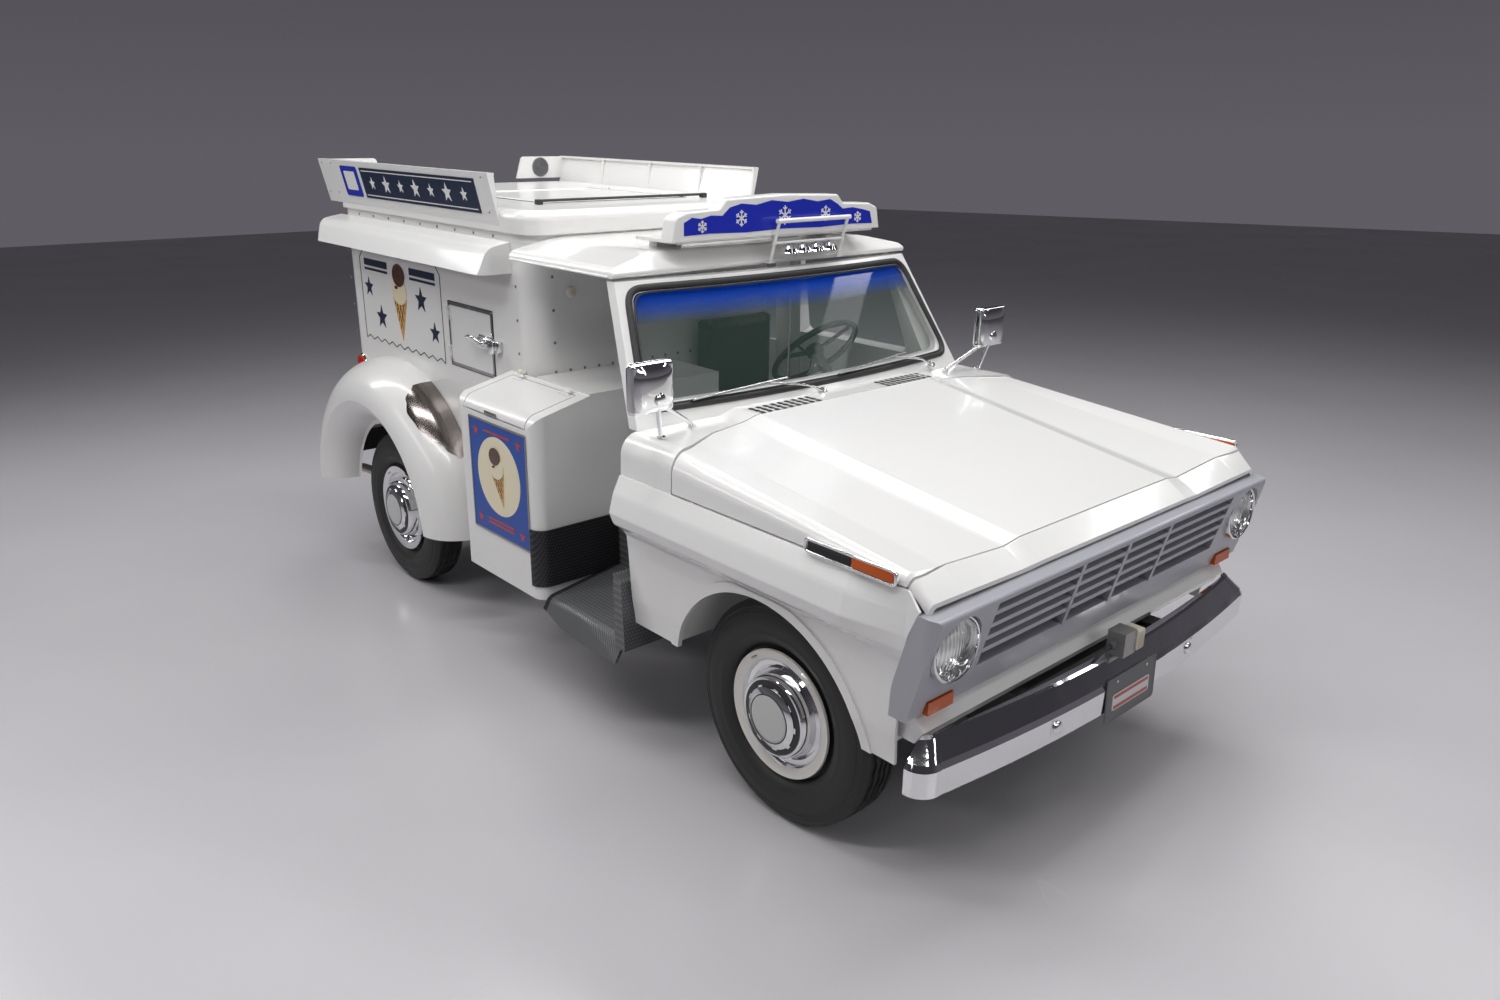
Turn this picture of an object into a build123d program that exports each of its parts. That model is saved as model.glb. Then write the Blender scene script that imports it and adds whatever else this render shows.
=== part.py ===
from build123d import *
from math import cos, radians, sin, tan
import os

# Ice-cream vending truck on a pickup chassis, in millimetres. It is drawn level, with X forward from the
# front axle, Y to the truck's left and Z up, and then stood on its wheels with its nose a little low.

# Stance and running gear
rake = 2.0              # nose-down angle of the whole body, degrees
wheelbase = 2925
tyre_radius = 395
tyre_width = 190
front_flange = 831      # centre line to the outer rim flange, front
rear_flange = 747       # the same, rear
kingpin_y = 630
lock_angle = 28         # steering lock each way, degrees
seat_gap = 0.3          # between pieces that rest on each other
swing_gap = 6           # round doors and lids

# Frame
rail_outer = 430
rail_width = 65
rail_bottom = 430
rail_top = 580
rail_wall = 8
rail_front = 690
rail_rear = -wheelbase - 575
beam_bottom = 340
beam_top = 400

# Nose
sheet = 10              # body panels
seam_z = 1071           # fender and hood part along this height
body_bottom = 500
fender_front = 600
cowl_rear = -680
arch_radius = 440
liner_radius = 470
liner_inner = 444
hood_rear = -510
hood_nose = 655
crease_fade = 400
hood_pivot = (-505, 1231)
hood_roll = 9
hood_seam = 572         # hood's front edge
hood_bend = 580         # where the top turns down into the nose

# Cab
floor_top = 640
firewall_rear = -565
glass_low = (-694, 839, 1258)    # outer lower corner of the windshield rubber
glass_high = (-940, 748, 1667)   # outer upper corner
glass_bow = 70                   # how far the glass bows forward at the middle
roof_front = -935
roof_side = 780
roof_edge_z = 1690
roof_top_z = 1768
roof_skin = 22
door_front = -680
door_rear = -1604
door_thick = 90
door_hinge = (-683, 999)
door_pin = 2.4
jamb_slant = 84         # inner edge of the door ahead of its outer edge
belt_z = 1240

# Freezer body
box_front = -1640
box_rear = -wheelbase - 555
box_side = 680
box_wall = 80
box_bottom = 700
box_floor_top = 780
box_top = 1775
roof_thick = 95
corner_radius = 110
cabinet_front = -1250
cabinet_top = 1205

# Side door, rear door and roof hatch of the freezer
side_door = (-2380, -1975, 1133, 1432)     # rear, front, bottom, top
rear_door = (-420, 420, 850, 1640)         # right, left, bottom, top
hatch = (-2800, -1980, 400)                # rear, front, half width
door_taper = 24

# Butt hinges of doors and lids
hinge_pin = 3.5
hinge_barrel = 7
hinge_lift = 8          # pin above the face

# Lockers and step
locker_side = 945
locker_bottom = 395
locker_skin = 18
locker_round = 52       # front upright edge
lid_edge = 25           # locker top left standing behind the lid
lid_fall = 62           # drop of the locker top from the wall to its outer face
locker_right = (-1840, -1250)
locker_left = (-2120, -1700)
step_front = -735
step_inner = -560

awning_low = 1612

# Rear fenders
arch_centre_x = -wheelbase + 10
spring_reach = 560      # half length of a leaf spring
fender_lip = 760
rear_lip_radius = 460


# Closed outline: each point is (a, b), or (a, b, radius) where its corner is rounded, and in_space places it
def outline_face(points, in_space):
    corners = []
    for i, point in enumerate(points):
        here = Vector(*point[:2])
        radius = point[2] if len(point) > 2 else 0
        if not radius:
            corners.append([here])
            continue
        back = (Vector(*points[i - 1][:2]) - here).normalized()
        onward = (Vector(*points[(i + 1) % len(points)][:2]) - here).normalized()
        half = radians(back.get_angle(onward) / 2)
        inward = (back + onward).normalized()
        reach = radius / tan(half)
        middle = here + inward * (radius / sin(half) - radius)
        corners.append([here + back * reach, middle, here + onward * reach])
    edges = []
    for corner, after in zip(corners, corners[1:] + corners[:1]):
        if len(corner) == 3:
            edges.append(ThreePointArc(*[in_space(spot.X, spot.Y) for spot in corner]))
        start, end = corner[-1], after[0]
        if (end - start).length > 0.01:
            edges.append(Line(in_space(start.X, start.Y), in_space(end.X, end.Y)))
    return make_face(edges)


# Side outline of (x, z) points, carried from y0 to y1
def slab_y(points, y0, y1):
    face = outline_face(points, lambda x, z: (x, y0, z))
    return extrude(face, amount=y1 - y0, dir=(0, 1, 0))


# Plan outline of (x, y) points, carried from z0 up to z1
def slab_z(points, z0, z1):
    face = outline_face(points, lambda x, y: (x, y, z0))
    return extrude(face, amount=z1 - z0, dir=(0, 0, 1))


# Cross-section of (y, z) points, carried from x0 forward to x1
def slab_x(points, x0, x1):
    face = outline_face(points, lambda y, z: (x0, y, z))
    return extrude(face, amount=x1 - x0, dir=(1, 0, 0))


def oblong(a0, a1, b0, b1):
    return [(a0, b0), (a1, b0), (a1, b1), (a0, b1)]


# Form through (y, z) sections at given places along X, with straight lines between them
def form_x(*stations):
    faces = []
    for x, points in stations:
        faces.append(outline_face(points, lambda y, z: (x, y, z)))
    return loft(faces, ruled=True)


# The outline moved inward by an amount along its first direction, with its corners kept
def moved_in(points, amount):
    return [(point[0] - amount, *point[1:]) for point in points]


def block(x0, x1, y0, y1, z0, z1):
    return Pos((x0 + x1) / 2, (y0 + y1) / 2, (z0 + z1) / 2) * Box(abs(x1 - x0), abs(y1 - y0), abs(z1 - z0))


def rod(start, end, radius):
    axis = Vector(*end) - Vector(*start)
    plane = Plane(origin=start, z_dir=axis)
    return extrude(plane * Circle(radius), amount=axis.length)


# A butt hinge on a flat face: its origin is on the face in the middle of the gap, its plane's X points to the
# moving side and its Y outward. Gives the fixed half with the pin, and the moving half.
def hinge(origin, to_door, along, length=60):
    pin, barrel, lift, leaf, reach = hinge_pin, hinge_barrel, hinge_lift, 3, 24
    half = length / 2
    middle = half / 2
    fixed = Pos(0, lift, 0) * Cylinder(pin, length)
    for end in (-1, 1):
        z = end * (middle + half) / 2
        fixed += Pos(0, lift, z) * Cylinder(barrel, half - middle)
        fixed += Pos(-5, lift / 2, z) * Box(10, lift + 1, half - middle)
    fixed += Pos(-(reach + 8) / 2, leaf / 2 - 0.5, 0) * Box(reach - 8, leaf + 1, length)
    moving = Pos(0, lift, 0) * Cylinder(barrel, half - 2) + Pos(5, lift / 2, 0) * Box(10, lift + 1, half - 2)
    moving += Pos((reach + 8) / 2, leaf / 2 - 0.5, 0) * Box(reach - 8, leaf + 1, length)
    moving -= Pos(0, lift, 0) * Cylinder(pin + 0.4, length)
    place = Plane(origin=origin, x_dir=to_door, z_dir=along)
    return place * fixed, place * moving


def other_side(shape):
    return mirror(shape, about=Plane.XZ)


def both_sides(shape):
    return shape + other_side(shape)


# Rear wheels sit lower in the level drawing, because the body leans forward over them
rear_axle_x = -wheelbase * cos(radians(rake))
rear_axle_z = tyre_radius - wheelbase * sin(radians(rake))
wheel_places = {
    "front_right": (0, tyre_radius, -1, front_flange),
    "front_left": (0, tyre_radius, 1, front_flange),
    "rear_right": (rear_axle_x, rear_axle_z, -1, rear_flange),
    "rear_left": (rear_axle_x, rear_axle_z, 1, rear_flange),
}


def make_frame():
    inner = rail_outer - rail_width
    web = rail_outer - rail_wall
    channel = [(rail_outer, rail_bottom), (inner, rail_bottom), (inner, rail_bottom + rail_wall),
               (web, rail_bottom + rail_wall), (web, rail_top - rail_wall), (inner, rail_top - rail_wall),
               (inner, rail_top), (rail_outer, rail_top)]
    frame = both_sides(slab_x(channel, rail_rear, rail_front))
    # Cross-members: rear, front, bottom, top
    for x0, x1, z0, z1 in ((540, 600, 440, 560), (-100, 100, 440, 500), (-900, -840, 436, 470),
                           (-1600, -1540, 500, 570), (-2380, -2320, 500, 570),
                           (rail_rear + 60, rail_rear + 120, 440, 560)):
        frame += block(x0, x1, -web, web, z0, z1)
    # Hangers of the twin axle beams under the engine cross-member
    frame += block(24, 74, -150, -100, beam_top + seat_gap, 440)
    frame += block(-74, -24, 100, 150, beam_top + seat_gap, 440)
    for side in (-1, 1):
        # Spring towers, radius-arm hangers and leaf-spring hangers
        frame += block(-60, 60, side * (rail_outer - 5), side * 560, 640, 652)
        frame += block(-60, 60, side * (rail_outer - 8), side * (rail_outer + 6), rail_top - 10, 645)
        frame += block(-930, -870, side * 376, side * 404, 385 + seat_gap, rail_bottom)
        for x in (rear_axle_x + spring_reach, rear_axle_x - spring_reach):
            frame += block(x - 18, x + 18, side * 372, side * 424, leaf_end + seat_gap, rail_bottom)
    return frame


leaf_end = 409          # top of the leaf springs at their eyes
axle_tube = 42


def make_front_beams():
    beams = None
    for side in (-1, 1):
        boss_y = side * kingpin_y
        end_x, end_y = side * 49, -side * 125
        bar = slab_z([(-28, boss_y), (end_x - 26, end_y - side * 25), (end_x + 26, end_y - side * 25),
                      (28, boss_y)], beam_bottom, beam_top)
        eye = Pos(0, boss_y, beam_bottom) * Cylinder(34, beam_top - beam_bottom,
                                                     align=(Align.CENTER, Align.CENTER, Align.MIN))
        arm = block(-930, 5, side * 376, side * 404, 350, 385)
        bore = rod((0, boss_y, beam_bottom - 5), (0, boss_y, beam_top + 15), 16.4)
        beam = bar + eye + arm - bore
        beams = beam if beams is None else beams + beam
    return beams


def make_knuckle(side):
    up = (Align.CENTER, Align.CENTER, Align.MIN)
    pin = Pos(0, 0, beam_bottom - 25) * Cylinder(16, beam_top - beam_bottom + 50, align=up)
    knuckle = pin
    for low in (beam_bottom - 25, beam_top + 1):
        knuckle += Pos(0, 0, low) * Cylinder(30, 24, align=up)
        knuckle += block(-22, 22, 0, 54, low, low + 24)
    knuckle += block(-30, 30, 40, 54, beam_bottom - 25, beam_top + 25)
    knuckle += rod((0, 50, tyre_radius), (0, 158, tyre_radius), 22)
    arm = block(arm_x - 17, -20, -15, 15, beam_bottom - 25, beam_bottom - 1)
    arm -= rod((arm_x, 0, beam_bottom - 30), (arm_x, 0, beam_bottom), 9.5)
    knuckle += arm
    if side < 0:
        knuckle = other_side(knuckle)
    return Pos(0, side * kingpin_y, 0) * knuckle


arm_x = -148            # steering-arm eye, straight behind the kingpin


def make_tie_rod():
    z = beam_bottom - 45
    reach = kingpin_y
    link = rod((arm_x, -reach, z), (arm_x, reach, z), 11)
    for side in (-1, 1):
        link += rod((arm_x, side * reach, z - 14), (arm_x, side * reach, beam_bottom - 25 - 3), 16)
        link += rod((arm_x, side * reach, z), (arm_x, side * reach, beam_bottom - 2), 9)
    return link


def make_springs():
    low, high, turns = beam_top + seat_gap, 640 - seat_gap, 8
    pitch = (high - low) / turns
    points = [(44, low)]
    for turn in range(turns):
        z = low + turn * pitch
        points += [(52, z), (58, z + pitch / 2)]
    points += [(52, high), (44, high)]
    coil = revolve(make_face(Polyline([(r, 0, z) for r, z in points], close=True)), axis=Axis.Z)
    springs = Pos(0, 500, 0) * coil
    seat_z = rear_axle_z + axle_tube + seat_gap
    back, fore = rear_axle_x - spring_reach, rear_axle_x + spring_reach
    low_arc = ThreePointArc((back, 368, 385), (rear_axle_x, 368, seat_z), (fore, 368, 385))
    top_arc = ThreePointArc((fore, 368, leaf_end), (rear_axle_x, 368, seat_z + 36), (back, 368, leaf_end))
    ends = [Line(low_arc @ 1, top_arc @ 0), Line(top_arc @ 1, low_arc @ 0)]
    leaf = extrude(make_face([low_arc, ends[0], top_arc, ends[1]]), amount=60, dir=(0, 1, 0))
    return both_sides(springs + leaf)


def make_rear_axle():
    x, z = rear_axle_x, rear_axle_z
    reach = rear_flange - 157
    axle = rod((x, -reach, z), (x, reach, z), axle_tube)
    axle += rod((x, -reach - 116, z), (x, reach + 116, z), 22)
    axle += Pos(x, 0, z) * Sphere(125)
    axle += rod((x, 0, z), (x + 200, 0, z + 12), 55)
    axle += rod((x + 190, 0, z + 11), (-958.7, 0, 520), 36)
    return axle


def make_engine():
    engine = block(-420, 330, -215, 215, 500 + seat_gap, 930)
    gearbox = slab_y([(-400, 470.3), (-400, 609), (-954, 590), (-954, 470.3)], -110, 110)
    return engine + gearbox


def make_exhaust():
    rise = arch_centre_x
    path = FilletPolyline((-440, -290, 470), (-900, -290, 400), (rise + 615, -290, 390),
                          (rise + 275, -290, 480), (rise - 145, -290, 480), (rise - 365, -330, 320),
                          (rise - 505, -600, 320), (rise - 725, -640, 320), radius=70)
    pipe = sweep(Plane(origin=path @ 0, z_dir=path % 0) * Circle(24), path=path)
    hanger = rod((-1570, -290, 440), (-1570, -290, 500 - seat_gap), 8)
    return pipe + rod((-1200, -290, 396), (-1750, -290, 393), 70) + hanger


# Disc, rim, hub cap and brake drum as one turned form. w runs outward from the rim flange.
disc_outline = ((0, 42), (66, 42), (90, 33), (112, 8), (140, -14), (164, -30), (180, -28), (186, -8),
                (206, -4), (220, 0), (222, -8), (208, -14), (203, -20), (203, -132), (208, -138),
                (222, -144), (220, -152), (206, -148), (190, -136), (186, -60), (178, -46), (148, -42),
                (148, -141), (0, -141))


def make_disc():
    face = make_face(Polyline([(r, w, 0) for r, w in disc_outline], close=True))
    disc = revolve(face, axis=Axis.Y)
    return disc - rod((0, -150, 0), (0, -38, 0), 22.5)


def make_tyre():
    half = tyre_width / 2
    mid = -76
    tread = tyre_radius
    left = ThreePointArc((226, mid + 56), (300, mid + half), (tread - 12, mid + 68))
    shoulder = ThreePointArc(left @ 1, (tread - 3, mid + 60), (tread, mid + 46))
    crown = Line(shoulder @ 1, (tread, mid - 46))
    shoulder_in = ThreePointArc(crown @ 1, (tread - 3, mid - 60), (tread - 12, mid - 68))
    right = ThreePointArc(shoulder_in @ 1, (300, mid - half), (226, mid - 56))
    bead = Polyline(right @ 1, (203 + seat_gap, mid - 54), (203 + seat_gap, mid + 54), (226, mid + 56))
    return revolve(make_face([left, shoulder, crown, shoulder_in, right, bead]), axis=Axis.Y)


def at_wheel(shape, corner):
    x, z, side, flange = wheel_places[corner]
    if side < 0:
        shape = other_side(shape)
    return Pos(x, side * flange, z) * shape


# Fender skin from the seam down, as (y, z) outside the panel
fender_section = [(955, seam_z), (985, 1012, 90), (1003, 945, 14), (985, 900, 30), (946, 868, 16),
                  (932, 846, 16), (926, 790, 90), (914, 600, 90), (904, 535, 30), (900, body_bottom)]
# The crease fades out towards the lamps
fender_section_front = [(955, seam_z), (960, 1012, 90), (962, 945, 60), (958, 900, 60), (948, 868, 40),
                        (938, 846, 20), (930, 790, 90), (916, 600, 90), (906, 535, 30), (902, body_bottom)]


def fender_solid(inset, low_y):
    outer = moved_in(fender_section, inset)
    outer_front = moved_in(fender_section_front, inset)
    close = [(low_y, body_bottom), (low_y, seam_z)]
    straight = slab_x(outer + close, cowl_rear, crease_fade)
    fading = form_x((crease_fade, outer + close), (fender_front, outer_front + close),
                    (fender_front + 1, outer_front + close))
    return straight + fading + slab_x(outer_front + close, fender_front, 700)


# Side view of the line where the fender meets the lamp shell, as (x, z)
shell_line = [(545, 480), (560, 700), (563, 780, 200), (609, 947, 200), (640, 1024)]


def make_front_fender():
    fender = fender_solid(0, 880) - fender_solid(sheet, 870)
    # Flange under the hood's edge
    flange = [(950, seam_z), (900, seam_z), (900, seam_z - 12), (950, seam_z - 12)]
    fender += slab_x(flange, cowl_rear, fender_front)
    front = shell_line + [(598, seam_z), (598, 1200), (900, 1200), (900, 480)]
    fender -= slab_y(front, 850, 1050)
    # Flared lip round the arch
    lip = (fender_solid(-8, 880) - fender_solid(2, 870)) & block(-600, 560, 800, 1000, body_bottom, 858)
    fender += lip & rod((0, 850, tyre_radius), (0, 1050, tyre_radius), arch_radius + 34)
    fender -= rod((0, 850, tyre_radius), (0, 1050, tyre_radius), arch_radius)
    within = fender_solid(5, liner_inner) & block(-600, 600, 400, 1100, 400, seam_z)
    liner = rod((0, liner_inner, tyre_radius), (0, 1000, tyre_radius), liner_radius + 8)
    liner -= rod((0, liner_inner - 5, tyre_radius), (0, 1010, tyre_radius), liner_radius)
    fender += liner & within
    apron = block(-480, 520, liner_inner, liner_inner + 8, 660, 1040)
    apron -= rod((0, 400, tyre_radius), (0, 600, tyre_radius), liner_radius)
    # Rubber stops under the hood's edge
    for x in (-300, 480):
        fender += rod((x, 945, seam_z - 8), (x, 945, seam_z + swing_gap - seat_gap), 4)
    return fender + apron


# Right half of the section over hood and cowl at the hood's rear edge, as (y, z)
shoulder = [(955, seam_z), (946, 1210, 72), (800, 1214, 300), (545, 1221, 120), (470, 1240, 60), (0, 1240)]
# The same where the hood's top meets its nose, and at the nose's lip
shoulder_front = [(955, seam_z), (951, 1113, 26), (800, 1094, 300), (505, 1074, 120), (430, 1086, 60),
                  (0, 1086)]
shoulder_lip = [(946, seam_z - 60), (934, 1042, 20), (800, 1040, 300), (505, 1034, 120), (430, 1036, 60),
                (0, 1036)]


def arch_section(points, drop=0, low=None):
    right = [(point[0] - drop if point[0] > 0 else 0, point[1] - drop, *point[2:]) for point in points]
    if low is not None:
        right[0] = (right[0][0], low)
    left = [(-point[0], *point[1:]) for point in reversed(right) if point[0] > 0]
    return right[:-1] + left if right[-1][0] == 0 else right + left


def shell_section(points, thick, low):
    return arch_section(points, 0, low), arch_section(points, thick, low)


hood_plan_rear = [(hood_rear, 560), (hood_rear + 22, 700), (-425, 850), (-396, 960)]


# Solid under the hood's top surface, lowered by the drop or raised by a negative one
def hood_form(drop):
    stations = []
    for x, points in ((hood_rear, shoulder), (hood_bend, shoulder_front), (hood_nose, shoulder_lip)):
        stations.append((x, arch_section(points, drop, 900)))
    return form_x(*stations)


# All that lies in front of the seam between hood and nose panel. The seam leans as the hood's edge swings.
def ahead_of_seam(gap):
    lean = 0.16
    low = hood_seam + gap - lean * (1085 - 800)
    plan = [(low, -780), (low, 780), (low + 14, 880, 40), (low + 20, 1000), (900, 1000), (900, -1000),
            (low + 20, -1000), (low + 14, -880, 40)]
    face = outline_face(plan, lambda x, y: (x, y, 800))
    return extrude(face, amount=500, dir=(lean, 0, 1))


def make_nose_panel():
    panel = (hood_form(0) - hood_form(14)) & ahead_of_seam(swing_gap)
    edge = seam_z + seat_gap
    below = [(400, 800), (400, edge), (598.2, edge), (640.3, 1024.3), (646, 1016.3), (760, 1016.3),
             (760, 800)]
    for side in (-1, 1):
        panel -= slab_y(below, side * 870, side * 1000)
    return panel - block(400, 760, -880, 880, 800, 1018)


def make_hood():
    hood = hood_form(0) - hood_form(14) - ahead_of_seam(0)
    # Side edges along the fender seams
    edge = seam_z + swing_gap
    for side in (-1, 1):
        hood -= block(-900, 760, side * 870, side * 1000, 800, edge)
    hood -= block(-900, 760, -880, 880, 800, 1018)
    rear = [(hood_rear, -1000), (hood_rear, 1000), (-900, 1000), (-900, -1000)]
    hood -= slab_z(rear, 900, 1400)
    for side in (-1, 1):
        corner = [(x, side * y) for x, y in hood_plan_rear] + [(-396, side * 1000), (-700, side * 1000),
                                                             (-700, side * 560)]
        hood -= slab_z(corner, 900, 1400)
    # Rolled rear edge that the hood turns about
    hood -= block(hood_rear - 1, hood_pivot[0], -475, 475, 1180, 1300)
    x, z = hood_pivot
    return hood + rod((x, -472, z), (x, 472, z), hood_roll)


def door_hinge_lugs():
    x, y = door_hinge
    lugs = rod((x, y, 915), (x, y, 975), door_pin)
    for z in (915, 965):
        lugs += block(x - 2.6, cowl_rear + 2, y - 5, y + 1, z, z + 10)
    return lugs


def make_side_markers():
    marker = slab_y([(228, 1082), (555, 1079), (565, 1088), (553, 1104), (240, 1113), (228, 1106)], 920, 968)
    return both_sides(marker - hood_form(-seat_gap))


def make_cowl():
    outer, inner = shell_section(shoulder, sheet, 900)
    cowl = slab_x(outer, cowl_rear, -402) - slab_x(inner, cowl_rear - 5, -400)
    cowl -= block(-800, -300, -1000, 1000, 800, seam_z + seat_gap)
    gap = swing_gap
    opening = [(hood_rear - gap, -560)] + [(hood_rear - gap, 560)]
    for x, y in hood_plan_rear[1:]:
        opening.append((x - gap, y))
    opening += [(-300, 960), (-300, -960)]
    for x, y in reversed(hood_plan_rear[1:]):
        opening.append((x - gap, -y))
    cowl -= slab_z(opening, 900, 1400)
    return cowl + make_windshield_frame()


# A band that leans back with the glass and bows forward in plan
def leaning_band(thick, low, high, push=0):
    x0, y0, z0 = glass_low
    lean = (glass_high[0] - x0) / (glass_high[2] - z0)
    x_low = x0 + lean * (low - z0) + push
    wide = 900
    bow = glass_bow * (wide / y0) ** 2
    front = ThreePointArc((x_low - bow + glass_bow, -wide, low), (x_low + glass_bow, 0, low),
                          (x_low - bow + glass_bow, wide, low))
    back = ThreePointArc((x_low - bow + glass_bow - thick, wide, low), (x_low + glass_bow - thick, 0, low),
                         (x_low - bow + glass_bow - thick, -wide, low))
    face = make_face([front, Line(front @ 1, back @ 0), back, Line(back @ 1, front @ 0)])
    direction = Vector(lean, 0, 1)
    return extrude(face, amount=(high - low) * direction.length, dir=direction)


def glass_trapezoid(margin):
    z0, z1 = glass_low[2] + margin, glass_high[2] - margin
    y0, y1 = glass_low[1] - margin, glass_high[1] - margin
    return slab_x([(-y0, z0, 45), (y0, z0, 45), (y1, z1, 45), (-y1, z1, 45)], -1200, -300)


def make_windshield_frame():
    z0, z1 = glass_low[2], glass_high[2]
    frame = leaning_band(45, z0 - 45, z1 + 12, -4)
    side = (glass_low[1] - glass_high[1]) / (z1 - z0)
    wide_low = glass_low[1] + 30 + side * 45
    frame &= slab_x([(-wide_low, z0 - 45), (wide_low, z0 - 45), (glass_high[1] + 26, z1 + 12),
                     (-glass_high[1] - 26, z1 + 12)], -1200, -300)
    return frame - glass_trapezoid(28)


def make_windshield():
    z0, z1 = glass_low[2], glass_high[2]
    return leaning_band(6, z0, z1, -20) & glass_trapezoid(28 + seat_gap)


def make_roof():
    section = [(-roof_side, roof_edge_z), (-roof_side + 3, 1722, 30), (-560, 1766, 500), (0, roof_top_z),
               (560, 1766, 500), (roof_side - 3, 1722, 30), (roof_side, roof_edge_z)]
    rear = box_front + seat_gap
    side = [(rear, roof_edge_z), (roof_front - 8, roof_edge_z, 5), (roof_front + 3, 1704, 12),
            (-1010, 1762, 70), (-1120, 1773, 200), (rear, 1773)]
    inner = [(point[0] * 0.965, point[1] - roof_skin, *point[2:]) for point in section]
    inner_side = [(box_front - 10, roof_edge_z - 30), (roof_front - 32, roof_edge_z - 30), (-1016, 1740, 60),
                  (-1120, 1751, 200), (box_front - 10, 1751)]
    roof = slab_x(section, rear, -900) & slab_y(side, -900, 900)
    return roof - (slab_x(inner, box_front - 10, -900) & slab_y(inner_side, -900, 900))


# Outside of cab door and corner above the seam, as (y, z)
cab_upper = [(955, seam_z), (946, 1140, 60), (905, 1195, 40), (845, belt_z, 25), (757, 1684)]


def cab_side():
    lower = list(reversed(fender_section))
    return lower[:-1] + cab_upper


def make_door():
    outline = cab_side()
    inner = [(757 - 30, 1684), (835 - door_thick, belt_z), (835 - door_thick, body_bottom + 20)]
    door = slab_x(outline + inner, door_rear, door_front - swing_gap)
    # Window opening through the upper frame
    window = [(door_rear + 50, belt_z + 12), (door_front - 170, belt_z + 12), (-1010, 1640),
              (door_rear + 50, 1640)]
    door -= slab_y([(x, z, 25) for x, z in window], 600, 1100)
    # Front edge follows the windshield post above the belt
    post = [(door_front - swing_gap, 1150), (-752, belt_z + 10), (-1022, 1700), (-600, 1700), (-600, 1150)]
    door -= slab_y(post, 600, 1100)
    door -= jamb(0)
    x, y = door_hinge
    door += block(x - 14, x, y - 5, y + 1, 927, 963)
    return door - rod((x, y, 900), (x, y, 990), door_pin + 0.4)


# Everything behind the slanted rear edge of the door
def jamb(gap):
    return slab_z([(door_rear - gap, 1010), (door_rear + jamb_slant - gap, 730), (door_rear - 300, 730),
                   (door_rear - 300, 1010)], 400, 1800)


def make_corner_left():
    outline = cab_side()
    inner = [(757 - 30, 1684), (835 - door_thick, belt_z), (835 - door_thick, body_bottom + 20)]
    corner = slab_x(outline + inner, locker_left[1] + seat_gap, door_rear + jamb_slant)
    return corner & jamb(swing_gap)


def make_floor():
    floor = block(box_front + seat_gap, -545, -560, 735, 620, floor_top)
    for x in (-700, -1100, -1560):
        floor += block(x - 30, x + 30, -560, 735, rail_top + seat_gap, 622)
    floor -= block(-960, -500, -115, 115, 560, 612)
    firewall = slab_x([(-870, 620), (870, 620), (870, 1170), (780, 1200), (-780, 1200), (-870, 1170)],
                      firewall_rear, firewall_rear + 20)
    floor += firewall
    # Pedestal under the driver's seat
    floor += block(-1540, -1180, 150, 530, floor_top - 5, 890)
    return floor


def make_dash():
    front = firewall_rear - seat_gap
    return slab_y([(front, 1060), (front, 1180), (-640, 1194), (-770, 1186), (-800, 1145), (-790, 1075),
                   (-740, 1060)], -735, 735)


def make_steering_wheel():
    centre = Vector(-1050, 360, 1275)
    down = Vector(0.72, 0, -0.694)
    column = rod(tuple(centre + down * 10), tuple(centre + down * 700), 26)
    column -= block(firewall_rear - seat_gap, -400, 300, 420, 700, 900)
    plane = Plane(origin=tuple(centre), z_dir=down)
    wheel = plane * Torus(200, 13)
    wheel += plane * Cylinder(38, 40)
    for angle in (90, 210, 330):
        wheel += plane * (Rot(0, 0, angle) * Pos(110, 0, 0) * Box(190, 22, 10))
    lever = rod(tuple(centre + down * 90), (-1000, 180, 1345), 6)
    return column + wheel + lever


def make_seat_cushion():
    return slab_y([(-1560, 890.3), (-1120, 890.3), (-1110, 985), (-1150, 1005), (-1560, 987.6)], 115, 565)


def make_seat_back():
    return slab_x([(115, 990), (565, 990), (560, 1320), (500, 1385), (340, 1400), (180, 1385), (120, 1320)],
                  -1600, -1510)


def make_mirrors():
    head = fillet(block(-566, -528, 833, 1003, 1312, 1482).edges(), 13)
    ball = Pos(-526, 905, 1352) * Sphere(15)
    arms = rod((-526, 905, 1350), (-556, 872, 1214), 8) + rod((-526, 905, 1350), (-600, 703, 1226), 8)
    feet = rod((-556, 868, 1213), (-556, 868, 1220), 14) + rod((-600, 700, 1217.6), (-600, 700, 1226), 14)
    return both_sides(head + ball + arms + feet)


def make_roof_sign():
    half = [(554, 1806), (536, 1890, 24), (486, 1908, 30), (330, 1914, 20), (296, 1948, 20), (0, 1957, 400)]
    outline = half + [(-point[0], *point[1:]) for point in reversed(half[:-1])]
    sign = slab_x(outline, -955, -888)
    sign = fillet(sign.faces().sort_by(Axis.X)[-1].edges().filter_by(lambda edge: edge.center().Z > 1812), 8)
    # Base channel on two folded brackets, which stand on the roof's crown
    sign_foot = roof_top_z - 0.9
    base = block(-1150, -900, -520, 520, 1796, 1807)
    for y in (-400, 400):
        base += block(-1150, -1100, y - 60, y + 60, sign_foot, 1800)
    return sign + base


def make_bell_rack():
    foot_x, foot_z = roof_front - 1.7, 1701.7
    rack = None
    for y in (-50, 330):
        leg = rod((-912, y, foot_z), (-846, y - 15, 1866), 6.5)
        leg += block(foot_x, -900, y - 14, y + 14, foot_z - 4, foot_z + 4)
        rack = leg if rack is None else rack + leg
    rack += rod((-848, -76, 1862), (-848, 328, 1862), 9)
    return rack + rod((bell_x, -64, bell_bar_z), (bell_x, 330, bell_bar_z), 5)


bell_x, bell_bar_z = -884, 1776


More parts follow.
